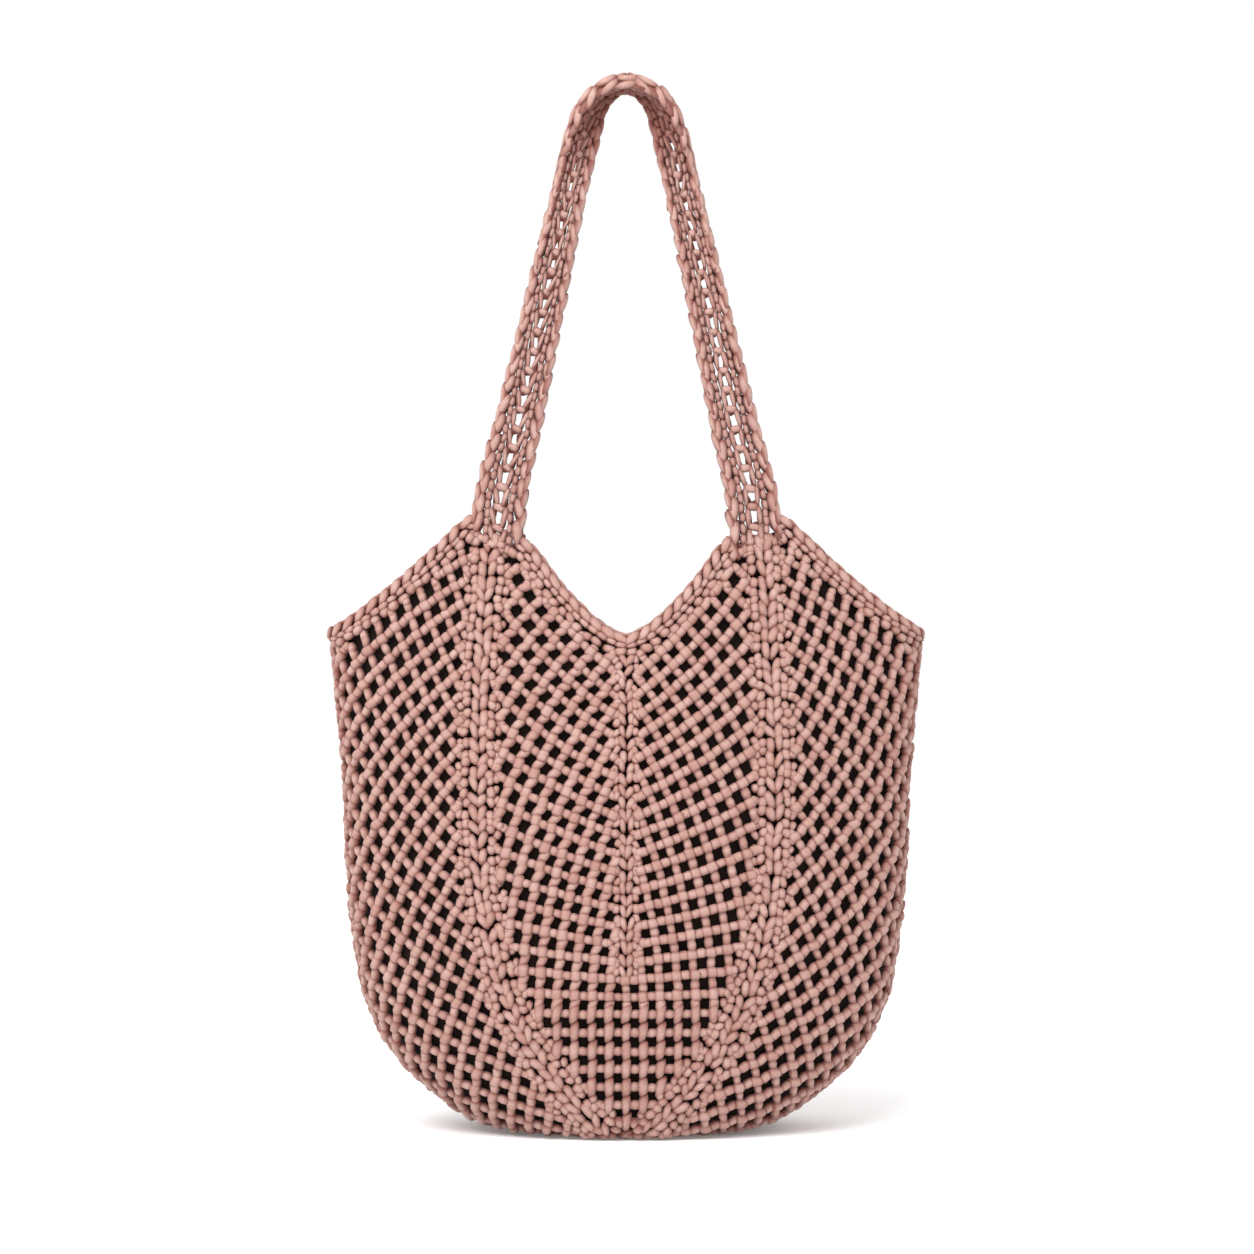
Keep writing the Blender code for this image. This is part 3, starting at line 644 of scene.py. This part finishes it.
SEAM_LEVELS = np.linspace(0.0, SURFACE.level_at(SEAM_TOP), SEAM_COUNT)
SEAM_ACROSS = seam_across(SEAM_LEVELS)
SEAM_POINTS, _ = SURFACE.sample(SEAM_ACROSS, SEAM_LEVELS)
STRAIGHT_RUN = np.interp(SURFACE.level_at(STRAIGHT_HEIGHT), SURFACE.levels, SURFACE.front_run)
RIM_ACROSS = np.linspace(0.0, 1.0, RIM_COUNT)


def middle_panel(i, j):
    """Net of the middle: i counts columns out from the middle, j rows up from the level row."""
    w = (i + 1j * np.maximum(j, 0.0)) * PITCH * TURN_RATE
    place = -np.log(1.0 - w) / TURN_RATE
    run = STRAIGHT_RUN + place.imag + np.minimum(j, 0.0) * ROW_PITCH
    level = np.interp(run, SURFACE.front_run, SURFACE.levels)
    across = (1.0 - np.exp(-EVEN_OUT * place.real)) / EVEN_OUT / SURFACE.girth(level)
    return across, level, run > FOOT_CLEARANCE


def outer_panel(i, j):
    """Net outside the leaf band: i strands run up and out, j strands up and in."""
    strands = i * np.exp(1j * OUTER_LEAN) + j * np.exp(1j * (OUTER_LEAN + OUTER_CROSSING))
    place = -np.log(1.0 - strands * OUTER_PITCH * OUTER_TURN_RATE) / OUTER_TURN_RATE
    run = place.imag
    level = np.interp(run, SURFACE.front_run, SURFACE.levels)
    narrowed = 1.0 - OUTER_NARROWING * np.maximum(run, 0.0)
    off = OUTER_MIDDLE + narrowed * (1.0 - np.exp(-OUTER_EVEN_OUT * place.real)) / OUTER_EVEN_OUT
    return off / SURFACE.girth(level), level, (run > FOOT_CLEARANCE) & (off > 0)


def cell_size(length, size, slim=1.0, longer=0.0):
    """Half sizes of beads from the length of their net cells."""
    along, across, out = size
    half = (length * (along + longer), np.full_like(length, across * slim), np.full_like(length, out))
    return np.stack(half, axis=1)


def far_from(points, line):
    """How far points are from a line of points, which is taken in parts to save memory."""
    nearest = np.full(len(points), np.inf)
    part_length = 60
    for part in np.array_split(line, max(1, len(line) // part_length)):
        gaps = np.linalg.norm(points[:, None] - part[None], axis=2).min(axis=1)
        nearest = np.minimum(nearest, gaps)
    return nearest


class Face:
    """Front or back of the bag: its rim line and the beads of its net."""

    def __init__(self, side):
        self.rim_levels = rim_level(RIM_ACROSS, side)
        self.rim, _ = SURFACE.sample(RIM_ACROSS, self.rim_levels)

    def keep(self, across, level, known, panel, slack):
        """Which places of a panel's net have a stitch: those inside its borders."""
        points, _ = SURFACE.sample(across, level)
        past_middle = -0.004
        good = known & (across > past_middle) & (across < 1.0)
        top = np.interp(across, RIM_ACROSS, self.rim_levels)
        good &= level < top
        index = np.flatnonzero(good)
        slack = slack[index]
        fine = far_from(points[index], self.rim) > RIM_CLEARANCE - slack
        fine &= far_from(points[index], SEAM_POINTS) > SEAM_BAND + BAND_CLEARANCE - slack
        seam = np.interp(level[index], SEAM_LEVELS, SEAM_ACROSS)
        if panel == "middle":
            fine &= across[index] < seam
            near_spine = points[index, 0] < SPINE_BAND + SPINE_CLEARANCE - slack
            fine &= ~((points[index, 2] > SPINE_FOOT) & near_spine)
        else:
            fine &= across[index] > seam
            off_side = (1.0 - across[index]) * SURFACE.girth(level[index])
            fine &= off_side > SIDE_BAND + BAND_CLEARANCE - slack
        good[index] = fine
        return good

    def strands(self, beads, panel, sign):
        """Strands of one panel: crossings, middles between them, and short ends at its border."""
        chart = middle_panel if panel == "middle" else outer_panel
        across_span, up_span = MIDDLE_SPANS if panel == "middle" else OUTER_SPANS
        for family in ("i", "j"):
            runs, steps = (across_span, up_span) if family == "i" else (up_span, across_span)
            fine = np.arange(runs[0] * QUARTERS, runs[1] * QUARTERS + 1) / QUARTERS
            whole = np.arange(steps[0], steps[1] + 1, dtype=float)
            a, b = np.meshgrid(fine, whole, indexing="ij")
            if family == "j":
                a, b = b, a
            shape = a.shape
            across, level, known = chart(a.ravel(), b.ravel())
            quarter = np.broadcast_to((np.arange(len(fine)) % QUARTERS)[:, None], shape)
            slack = np.choose(quarter, SLACK).ravel()
            good = self.keep(across, level, known, panel, slack).reshape(shape)
            before = np.zeros(shape, bool)
            after = np.zeros(shape, bool)
            before[1:] = good[:-1]
            after[:-1] = good[1:]
            ends = good & (quarter % 2 == 1) & (before ^ after)
            blocks = good & (quarter == 0) if family == "i" else np.zeros(shape, bool)
            middles = good & (quarter == 2)
            # Both middle panels share the column on the middle line, which the right one has
            if sign < 0 and panel == "middle":
                blocks &= a > 0
                middles &= a > 0
                ends &= a > 0
            for part, pick in (("block", blocks), ("middle", middles), ("end", ends)):
                self.place(beads, chart, a[pick], b[pick], family, part, panel, sign)

    def place(self, beads, chart, a, b, family, part, panel, sign):
        """Ropes or blocks where strands cross; balls on the top strands and stubs on those below between."""
        if not len(a):
            return
        mirror = np.array((sign, 1.0, 1.0))
        centre, normal = SURFACE.sample(*chart(a, b)[:2])
        centre, normal = centre * mirror, normal * mirror
        ahead_i = self.step(chart, a, b, 0.5, 0.0) * mirror
        ahead_j = self.step(chart, a, b, 0.0, 0.5) * mirror
        long_i = np.linalg.norm(ahead_i, axis=1)
        long_j = np.linalg.norm(ahead_j, axis=1)
        middle = panel == "middle"
        slim = 1.0 if middle else OUTER_SLIM
        zigzag = 0.0 if middle else ZIGZAG[sign]
        # The strands that run up to the right lie on top, and the upright ones at the bottom
        i_on_top = np.full(len(a), sign > 0) & ~(middle & (b < UPRIGHT_ROWS))
        # Upright ropes of overlapping leaves at the foot of the middle panels
        ropes = middle & (b < ROPE_ROWS)
        if part == "block":
            size = cell_size(long_j, ROPE_SIZE)
            beads.add(ROPE, (centre - normal * ROPE_DEPTH)[ropes], ahead_j[ropes], normal[ropes],
                      size[ropes], tilt=ROPE_TILT, turn=ROPE_TURN, rough=0.7)
            plain = ~ropes
            main = np.where(i_on_top[:, None], ahead_i, ahead_j)
            size = cell_size(np.where(i_on_top, long_i, long_j), BLOCK_SIZE, slim)
            beads.add(BLOCK, (centre - normal * BLOCK_DEPTH)[plain], main[plain], normal[plain], size[plain],
                      turn=-zigzag)
            return
        top = i_on_top if family == "i" else ~i_on_top
        step = ahead_i if family == "i" else ahead_j
        length = long_i if family == "i" else long_j
        ropes &= family == "j"
        low = ~top & ~ropes
        top &= ~ropes
        shorter = 0.0 if part == "middle" else END_SHORTER
        leafy = sign < 0 and middle and part == "middle"
        size = cell_size(length, BALL_SIZE, slim, LEAFY_EXTRA * leafy - shorter)
        beads.add(LEAF if leafy else BALL, (centre - normal * BALL_DEPTH)[top], step[top], normal[top],
                  size[top], LEAFY_BEND * leafy, turn=zigzag)
        size = cell_size(length, STUB_SIZE, slim, -shorter)
        beads.add(STUB, (centre - normal * STUB_DEPTH)[low], step[low], normal[low], size[low])

    @staticmethod
    def step(chart, a, b, di, dj):
        """Vector of one net cell along a family of strands."""
        high = SURFACE.sample(*chart(a + di, b + dj)[:2])[0]
        low = SURFACE.sample(*chart(a - di, b - dj)[:2])[0]
        return high - low


def add_column(beads, line, mirror, column, way=1):
    """A column of stitches beside a line on the body, each leaning away from it or towards it."""
    offset, spacing, lean, size, shapes, depth = column
    points, normals = SURFACE.sample(*line)
    run = run_along(points)
    count = max(int(run[-1] / spacing), 1)
    at = (np.arange(count) + 0.5) * run[-1] / count
    centre = vectors(at, run, points)
    normal = unit(vectors(at, run, normals))
    along = directions(at, run, points, NEARBY)
    side = unit(np.cross(along, normal))
    astray = random.normal(0, 1, (len(centre), 3)).clip(-MOST_COLUMN_SPREAD, MOST_COLUMN_SPREAD)
    centre = centre + along * astray[:, :1] * COLUMN_SPREAD[0]
    offset = way * offset + astray[:, 1:2] * COLUMN_SPREAD[1]
    lean = way * lean + astray[:, 2:3] * COLUMN_SPREAD[2]
    place = (centre + side * offset - normal * depth) * mirror
    heading = (along * np.cos(lean) + side * np.sin(lean)) * mirror
    clear = place[:, 2] > FLOOR_CLEARANCE
    beads.add(shapes, place[clear], heading[clear], (normal * mirror)[clear], size, rough=1.7)


def add_columns(beads, line, mirror, columns):
    """Columns of stitches on both sides of a line."""
    for way in (1, -1):
        for column in columns:
            add_column(beads, line, mirror, column, way)


def build_face(side):
    face = Face(side)
    pieces = {place: Beads(side["name"] + "_net_" + place) for place in ("left", "middle", "right")}
    for sign, place in ((1, "right"), (-1, "left")):
        face.strands(pieces[place], "outer", sign)
        face.strands(pieces["middle"], "middle", sign)
    band = Beads(side["name"] + "_leaf_bands")
    levels = np.linspace(BAND_FOOT, SURFACE.level_at(BAND_TOP), BORDER_COUNT)
    line = (np.interp(levels, SEAM_LEVELS, SEAM_ACROSS), levels)
    for sign in (1, -1):
        add_columns(band, line, np.array((sign, 1.0, 1.0)), BAND_COLUMNS)
    spine_foot = SURFACE.level_at(SPINE_FOOT - SPINE_OVERLAP)
    spine_top = float(rim_level(np.array(0.0), side)) - SPINE_TOP_GAP
    levels = np.linspace(spine_foot, spine_top, 160)
    add_columns(band, (np.zeros_like(levels), levels), np.ones(3), SPINE_COLUMNS)
    # A row of small beads follows the rim
    for sign in (1, -1):
        add_column(band, (RIM_ACROSS, face.rim_levels), np.array((sign, 1.0, 1.0)), RIM_COLUMN)
    groups = list(pieces.values()) + [band]
    for group in groups:
        group.groups = [(turned(points, side), faces, paint) for points, faces, paint in group.groups]
    for group in groups:
        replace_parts(group.build(YARN), side["name"] + "_net")


# Edging along the rim

def rim_line(side):
    """Middle of the wall along the net's rim, from left to right, and its outward directions."""
    across = np.linspace(-1.0, 1.0, 1400)
    points, normals = SURFACE.sample(across, rim_level(np.abs(across), side))
    points = turned(points - normals * WALL / 2, side)
    normals = turned(normals, side)
    if side["turn"] < 0:
        points, normals = points[::-1], normals[::-1]
    return points, normals


def rim_frames(line, spacing, first, last, shift=0.0):
    """Places along the rim between two offsets from the middle: centre, direction, up, outward."""
    points, normals = line
    run = run_along(points)
    keep = (points[:, 0] >= first) & (points[:, 0] <= last)
    start, end = run[keep].min(), run[keep].max()
    count = max(int((end - start) / spacing), 1)
    at = start + (np.arange(count) + 0.5 + shift) * (end - start) / count
    normal = unit(vectors(at, run, normals))
    along = directions(at, run, points, RIM_NEARBY)
    up = np.cross(normal, along)
    up = np.where(up[:, 2:3] < 0, -up, up)
    return vectors(at, run, points), along, unit(up), normal


def add_edging(beads, side, first, last):
    """Chain stitches that lean upwards, with an arm on each face and one on top, and small beads below."""
    line = rim_line(side)
    centre, along, up, normal = rim_frames(line, EDGING_SPACING, first, last)
    climb = np.sign(along[:, 2:3] + 1e-9)
    for way in (1, -1):
        place = centre + up * 0.0048 + normal * way * 0.0031
        beads.add(LONG_LEAF, place, along * climb + up * 0.34, normal * way + up * 0.25,
                  (0.0067, 0.0029, 0.0024), 0.0004, 0.7, tilt=0.10)
    centre, along, up, normal = rim_frames(line, EDGING_SPACING, first, last, 0.45)
    climb = np.sign(along[:, 2:3] + 1e-9)
    beads.add(LONG_LEAF, centre + up * 0.0073, along * climb - normal * 0.22, up,
              (0.0070, 0.0030, 0.0022), 0.0005, 0.7)
    centre, along, up, normal = rim_frames(line, CORD_SPACING, first, last)
    for way in (1, -1):
        place = centre + up * 0.0008 + normal * way * 0.0022
        beads.add(BALL, place, along, normal * way, (0.0041, 0.0022, 0.0023), rough=0.8)


def build_edgings():
    for side in (FRONT, BACK):
        beads = Beads(side["name"] + "_neck_braid")
        reach = STRAP_INNER + EDGING_OVERLAP + side["spread"]
        add_edging(beads, side, -reach, reach)
        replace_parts(beads.build(YARN), "neck_edging_" + side["name"])
    for sign, name in ((-1, "left"), (1, "right")):
        beads = Beads(name + "_side_braid")
        for side in (FRONT, BACK):
            start = STRAP_INNER + STRAP_WIDTH - EDGING_OVERLAP + side["spread"]
            add_edging(beads, side, *sorted((sign * start, sign * SIDE_REACH)))
        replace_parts(beads.build(YARN), "side_edging_" + name)


# Straps

def strap_foot(side):
    """Middle of the right leg's foot, its edge direction, its face and its width."""
    inner = STRAP_INNER + side["spread"]
    ends = []
    for x, height in ((inner, STRAP_INNER_HEIGHT), (inner + STRAP_WIDTH, STRAP_OUTER_HEIGHT)):
        across = SURFACE.across_at(x, SURFACE.level_at(height))
        point, normal = SURFACE.sample(across, rim_level(np.array(across), side))
        ends.append((point - normal * WALL / 2, normal))
    out = ends[1][0] - ends[0][0]
    width = float(np.linalg.norm(out))
    out = out / width
    face = ends[0][1] + ends[1][1]
    face = unit(face - out * np.dot(face, out))
    return (ends[0][0] + ends[1][0]) / 2, out, face, width


def strap_stations(side):
    """Middle, outward edge direction, face and width of the right leg, from the top to the foot."""
    foot, foot_out, foot_face, width = strap_foot(side)
    shares = 1.0 - np.linspace(0.0, 1.0, STRAP_STATIONS) ** 2
    spread = smooth_curve(STRAP_ROWS[:, 0], STRAP_ROWS[:, 1], shares)
    apex = STRAP_APEX_HEIGHT + side["rise"]
    line = np.stack((foot[0] * spread, foot[1] + (-STRAP_APEX_OFFSET - foot[1]) * shares ** 0.8,
                     foot[2] + (apex - foot[2]) * shares), axis=1)
    run = run_along(line)
    at = np.linspace(0.0, run[-1], STRAP_STATIONS)
    share = np.interp(at, run, shares)
    middle = vectors(at, run, line)
    along = np.gradient(middle, axis=0)
    along[0] = (1.0, 0.0, 0.0)
    along = unit(along)
    turn = smooth_curve(STRAP_ROWS[:, 0], STRAP_ROWS[:, 3], share)[:, None] * math.pi / 2
    upright = np.stack((-along[:, 2], np.zeros(STRAP_STATIONS), along[:, 0]), axis=1)
    out = upright * np.cos(turn) + np.array((0.0, -1.0, 0.0)) * np.sin(turn)
    out = unit(out - along * np.sum(out * along, axis=1, keepdims=True))
    face = np.cross(along, out)
    blend = np.clip(1.0 - share / STRAP_ROWS[1][0], 0, 1)[:, None]
    out = unit(out * (1 - blend) + foot_out * blend)
    face = np.where((face @ foot_face)[:, None] * (turn < 0.1) < 0, -face, face)
    face = face * (1 - blend) + foot_face * blend
    face = unit(face - out * np.sum(face * out, axis=1, keepdims=True))
    wide = width * smooth_curve(STRAP_ROWS[:, 0], STRAP_ROWS[:, 2], share)
    return at, middle, out, face, wide


class Strap:
    """Places on a strap by the run from its top, negative on the left leg."""

    def __init__(self, side):
        at, middle, out, face, wide = strap_stations(side)
        mirror = np.array((-1.0, 1.0, 1.0))
        self.run = np.concatenate((-at[:0:-1], at))
        self.middle = self.rounded(np.concatenate((middle[:0:-1] * mirror, middle)))
        self.out = np.concatenate((out[:0:-1] * mirror, out))
        self.face = np.concatenate((face[:0:-1] * mirror, face))
        self.width = np.concatenate((wide[:0:-1], wide))
        self.length = at[-1]
        # The stitches run on a little way into the net
        start = self.middle[0] + unit(self.middle[0] - self.middle[2]) * STRAP_TAIL
        end = self.middle[-1] + unit(self.middle[-1] - self.middle[-3]) * STRAP_TAIL
        self.middle = np.concatenate(([start], self.middle, [end]))
        self.out = np.concatenate((self.out[:1], self.out, self.out[-1:]))
        self.face = np.concatenate((self.face[:1], self.face, self.face[-1:]))
        slim = self.width[:1] * TAIL_WIDTH
        self.width = np.concatenate((slim, self.width, slim))
        reach = self.length + STRAP_TAIL
        self.run = np.concatenate(([-reach], self.run, [reach]))

    def rounded(self, line):
        """The middle line with its top rounded off, where the two legs meet."""
        weights = np.exp(-0.5 * ((self.run[:, None] - self.run[None]) / TOP_ROUNDING) ** 2)
        soft = weights @ line / weights.sum(axis=1, keepdims=True)
        share = np.clip(2.0 - np.abs(self.run) / (4 * TOP_ROUNDING), 0, 1)[:, None]
        return line + (soft - line) * share + np.array((0.0, 0.0, TOP_LIFT)) * share

    def at(self, run):
        """Middle, outward edge direction, face, width and direction at runs from the top."""
        out = unit(vectors(run, self.run, self.out))
        face = unit(vectors(run, self.run, self.face))
        along = directions(run, self.run, self.middle, NEARBY)
        return vectors(run, self.run, self.middle), out, face, np.interp(run, self.run, self.width), along


def towards_top(run):
    """Turns directions along a strap so that they point to its top on both legs."""
    return np.where(run > 0, -1.0, 1.0)[:, None]


def underside(run):
    """Mask of painted shade: 1 where a strap's front face looks down, at its top, and 0 along its legs."""
    return np.clip((UNDERSIDE_REACH - np.abs(run)) / (UNDERSIDE_REACH / 2), 0, 1)


def build_strap(side):
    strap = Strap(side)
    beads = Beads(side["name"] + "_strap_stitches")
    half = STRAP_THICKNESS / 2

    def runs(spacing, shift=0.0, reach=0.0):
        count = int((strap.length + reach) * 2 / spacing)
        run = (np.arange(count) + 0.5 + shift - count / 2) * spacing
        return run - np.sign(run) * side["stitch_shift"]

    def put(shapes, run, edge, inset, rise, size, lean, facing, roll=0.0, bend=0.0, rough=1.1, shade=1.0,
            tilt=0.0):
        """Beads inset from one long edge, above one face, leaning out from the strap's line.

        Inset and the sizes across are shares of the strap's width.
        """
        middle, out, face, width, along = strap.at(run)
        place = middle + out * (edge * width * (0.5 - inset))[:, None] + face * rise * facing
        heading = along + out * (edge * lean * np.sign(run))[:, None]
        heading = heading * towards_top(run)
        normal = face * facing + out * edge * roll
        size = np.stack((np.full_like(width, size[0]), np.maximum(width * size[1], SLIMMEST_STITCH),
                         np.full_like(width, size[2])), axis=1)
        # Painted shade: the face that turns down at the top of the strap is painted darker, towards the
        # crease colour, where it lies in shade
        down = underside(run) * (facing > 0)
        beads.add(shapes, turned(place, side), turned(heading, side), turned(normal, side), size, bend,
                  rough, tilt=tilt, shade=shade * (1 - UNDERSIDE_PAINTED_SHADE * down))

    for edge in (1, -1):
        for facing in (1, -1):
            # Chain stitches along both edges: an arm on each face
            put(LONG_LEAF, runs(CHAIN_SPACING, 0.0, CHAIN_REACH), edge, 0.125, half - 0.0026,
                (0.0088, 0.095, 0.0030), 0.26, facing, 0.35, tilt=0.05)
            # Small beads beside them, with more painted crease shade
            put(BALL, runs(SMALL_SPACING, 0.0, 0.008), edge, 0.275, half - 0.0030,
                (0.0036, 0.062, 0.0027), 0.0, facing, shade=0.8)
        # Two arms along the edge itself
        run = runs(CHAIN_SPACING, 0.5, CHAIN_REACH)
        middle, out, face, width, along = strap.at(run)
        for way in (1, -1):
            place = middle + out * (edge * (width / 2 - 0.0022))[:, None] + face * way * 0.0021
            heading = along * towards_top(run) - face * way * 0.20
            beads.add(LONG_LEAF, turned(place, side), turned(heading, side),
                      turned(out * edge + face * way * 0.4, side), (0.0087, 0.0027, 0.0024), rough=0.6,
                      tilt=0.04)
        # Long loops on either side of each slot, with more painted crease shade
        put(LEAF, runs(CHAIN_SPACING, 0.0, 0.010), edge, 0.395, 0.0004, (0.0072, 0.056, 0.0028), -0.08, 1,
            bend=0.0006 * edge, rough=1.4, shade=0.85)
    # Rungs between the slots, with painted shade at the strap's top
    run = runs(CHAIN_SPACING, 0.5, 0.006)
    middle, out, face, width, along = strap.at(run)
    size = np.stack((width * 0.13, np.full_like(width, 0.0026), np.full_like(width, 0.0027)), axis=1)
    beads.add(BLOCK, turned(middle, side), turned(out + along * 0.3, side), turned(face, side), size,
              rough=1.6, shade=1 - 0.6 * underside(run))
    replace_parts(beads.build(YARN), side["name"] + "_strap")


# Side seams and base

def build_side_seams():
    top = SURFACE.level_at(CORNER_HEIGHT) - 0.003
    levels = np.linspace(0.004, top, 260)
    for sign, name in ((-1, "left"), (1, "right")):
        beads = Beads("side_seam_stitches_" + name)
        add_columns(beads, (np.ones_like(levels), levels), np.array((sign, 1.0, 1.0)), SIDE_COLUMNS)
        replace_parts(beads.build(YARN), "side_seam_" + name)


def build_base():
    """A plain net of level strands, and a ring of stitches round it."""
    beads = Beads("base_stitches")
    half_width = SURFACE.half_widths[0]
    half_depth = SURFACE.half_depths[0]
    border = 0.003
    down = np.array((0.0, 0.0, -1.0))
    ahead = (0.0, 1.0, 0.0)
    sideways = (1.0, 0.0, 0.0)
    columns = np.arange(-6, 7) * PITCH
    rows = np.arange(-4, 5) * PITCH
    for dx, dy, shapes, heading, size, height in (
            (0, 0, BLOCK, ahead, (0.0040, 0.0034, 0.0031), 0.0034),
            (0, 0.5, BALL, ahead, (0.0035, 0.0032, 0.0029), 0.0039),
            (0.5, 0, STUB, sideways, (0.0040, 0.0028, 0.0026), 0.0044)):
        x, y = np.meshgrid(columns + dx * PITCH, rows + dy * PITCH, indexing="ij")
        x, y = x.ravel(), y.ravel()
        inside = (np.abs(x) / (half_width - border)) ** 2 + (np.abs(y) / (half_depth - border)) ** 2 < 1
        centre = np.stack((x, y, np.full_like(x, height)), axis=1)[inside]
        beads.add(shapes, centre, heading, down, size)
    inset = 0.001
    spacing = 0.0075
    angle = np.linspace(0, 2 * math.pi, 400)
    ring = np.stack((np.sin(angle) * (half_width - inset),
                     -np.sign(np.cos(angle)) * np.abs(np.cos(angle)) ** SECTION_POWER * (half_depth - inset),
                     np.full_like(angle, 0.0036)), axis=1)
    run = run_along(ring)
    count = int(run[-1] / spacing)
    at = (np.arange(count) + 0.5) * run[-1] / count
    centre = vectors(at, run, ring)
    beads.add(LEAF, centre, vectors(at + NEARBY, run, ring) - centre, down, (0.0052, 0.0030, 0.0030))
    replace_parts(beads.build(YARN), "base_net")


# Lining

def build_lining():
    """A cloth bag inside the net, with soft wrinkles, of real thickness, near black as painted shade of the
    bag's dim inside.
    """
    across = np.linspace(-1.0, 1.0, LINING_AROUND // 2, endpoint=False)
    depths = (WALL + LINING_GAP, WALL + LINING_GAP + LINING_THICKNESS)
    vertices = []
    for depth in depths:
        for side in (FRONT, BACK):
            top = rim_level(np.abs(across), side)
            for k in range(LINING_ROWS):
                level = top * (k / (LINING_ROWS - 1)) ** 1.1 * 0.999
                p, n = SURFACE.sample(across, level)
                wave = np.sin(p[:, 0] * 190 + p[:, 2] * 60) * np.sin(p[:, 2] * 120 - p[:, 0] * 40)
                inset = depth + LINING_WAVE * (1 + wave)
                vertices.append(turned(p - n * inset[:, None], side))
    grid = np.array(vertices).reshape(2, 2, LINING_ROWS, LINING_AROUND // 2, 3)
    outer = np.concatenate((grid[0, 0], grid[0, 1]), axis=1)
    inner = np.concatenate((grid[1, 0], grid[1, 1]), axis=1)
    outer[0, :, 2] = depths[0]
    inner[0, :, 2] = depths[1]
    points = np.concatenate((outer.reshape(-1, 3), inner.reshape(-1, 3)))
    faces = []
    count = LINING_AROUND
    size = LINING_ROWS * count
    for k in range(LINING_ROWS - 1):
        for m in range(count):
            n = (m + 1) % count
            a, b, c, d = k * count + m, k * count + n, (k + 1) * count + n, (k + 1) * count + m
            faces.append((a, b, c, d))
            faces.append((size + d, size + c, size + b, size + a))
    top = (LINING_ROWS - 1) * count
    for m in range(count):
        n = (m + 1) % count
        faces.append((top + m, top + n, size + top + n, size + top + m))
    faces.append(tuple(range(count))[::-1])
    faces.append(tuple(size + m for m in range(count)))
    piece = make_mesh("lining_cloth", points, *flattened(faces), LINING_PAINTED_SHADE, "lining")
    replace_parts(piece, "lining")


# Build

for face_side in (FRONT, BACK):
    build_face(face_side)
build_side_seams()
build_edgings()
build_base()
for strap_side in (FRONT, BACK):
    build_strap(strap_side)
build_lining()


# Floor, light and camera

def build_stage():
    mesh = bpy.data.meshes.new("floor")
    size = 12.0
    corners = [(-size, -size, 0), (size, -size, 0), (size, size, 0), (-size, size, 0)]
    mesh.from_pydata(corners, [], [(0, 1, 2, 3)])
    floor = bpy.data.objects.new("floor", mesh)
    material = bpy.data.materials.new("floor_white")
    material.use_nodes = True
    white = (1, 1, 1, 1)
    set_inputs(material.node_tree.nodes["Principled BSDF"], {
        "Base Color": (0.93, 0.93, 0.93, 1), "Roughness": 0.9, "Specular IOR Level": 0.1,
        "Emission Color": white, "Emission Strength": 0.12})
    mesh.materials.append(material)
    show(floor)
    world = bpy.data.worlds.new("studio")
    world.use_nodes = True
    set_inputs(world.node_tree.nodes["Background"], {"Color": white, "Strength": 1.0})
    bpy.context.scene.world = world


def build_light():
    light = bpy.data.lights.new("key", "AREA")
    light.shape = "SQUARE"
    light.size = 2.0
    light.energy = 78
    lamp = bpy.data.objects.new("key", light)
    lamp.location = (-0.75, -1.5, 2.3)
    aim = Vector((0, 0, 0.3))
    lamp.rotation_euler = (aim - lamp.location).to_track_quat("-Z", "Y").to_euler()
    show(lamp)


def build_camera():
    lens = bpy.data.cameras.new("camera")
    lens.sensor_width = 36.0
    lens.lens = 93.98
    camera = bpy.data.objects.new("camera", lens)
    camera.location = (0.0005, -2.2, 0.3363)
    camera.rotation_euler = (math.pi / 2, 0.0, 0.0)
    show(camera)
    bpy.context.scene.camera = camera


build_stage()
build_light()
bpy.context.scene.view_settings.view_transform = "Standard"
build_camera()

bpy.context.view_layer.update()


def plain(box):
    return [[float(v) for v in corner] for corner in box]
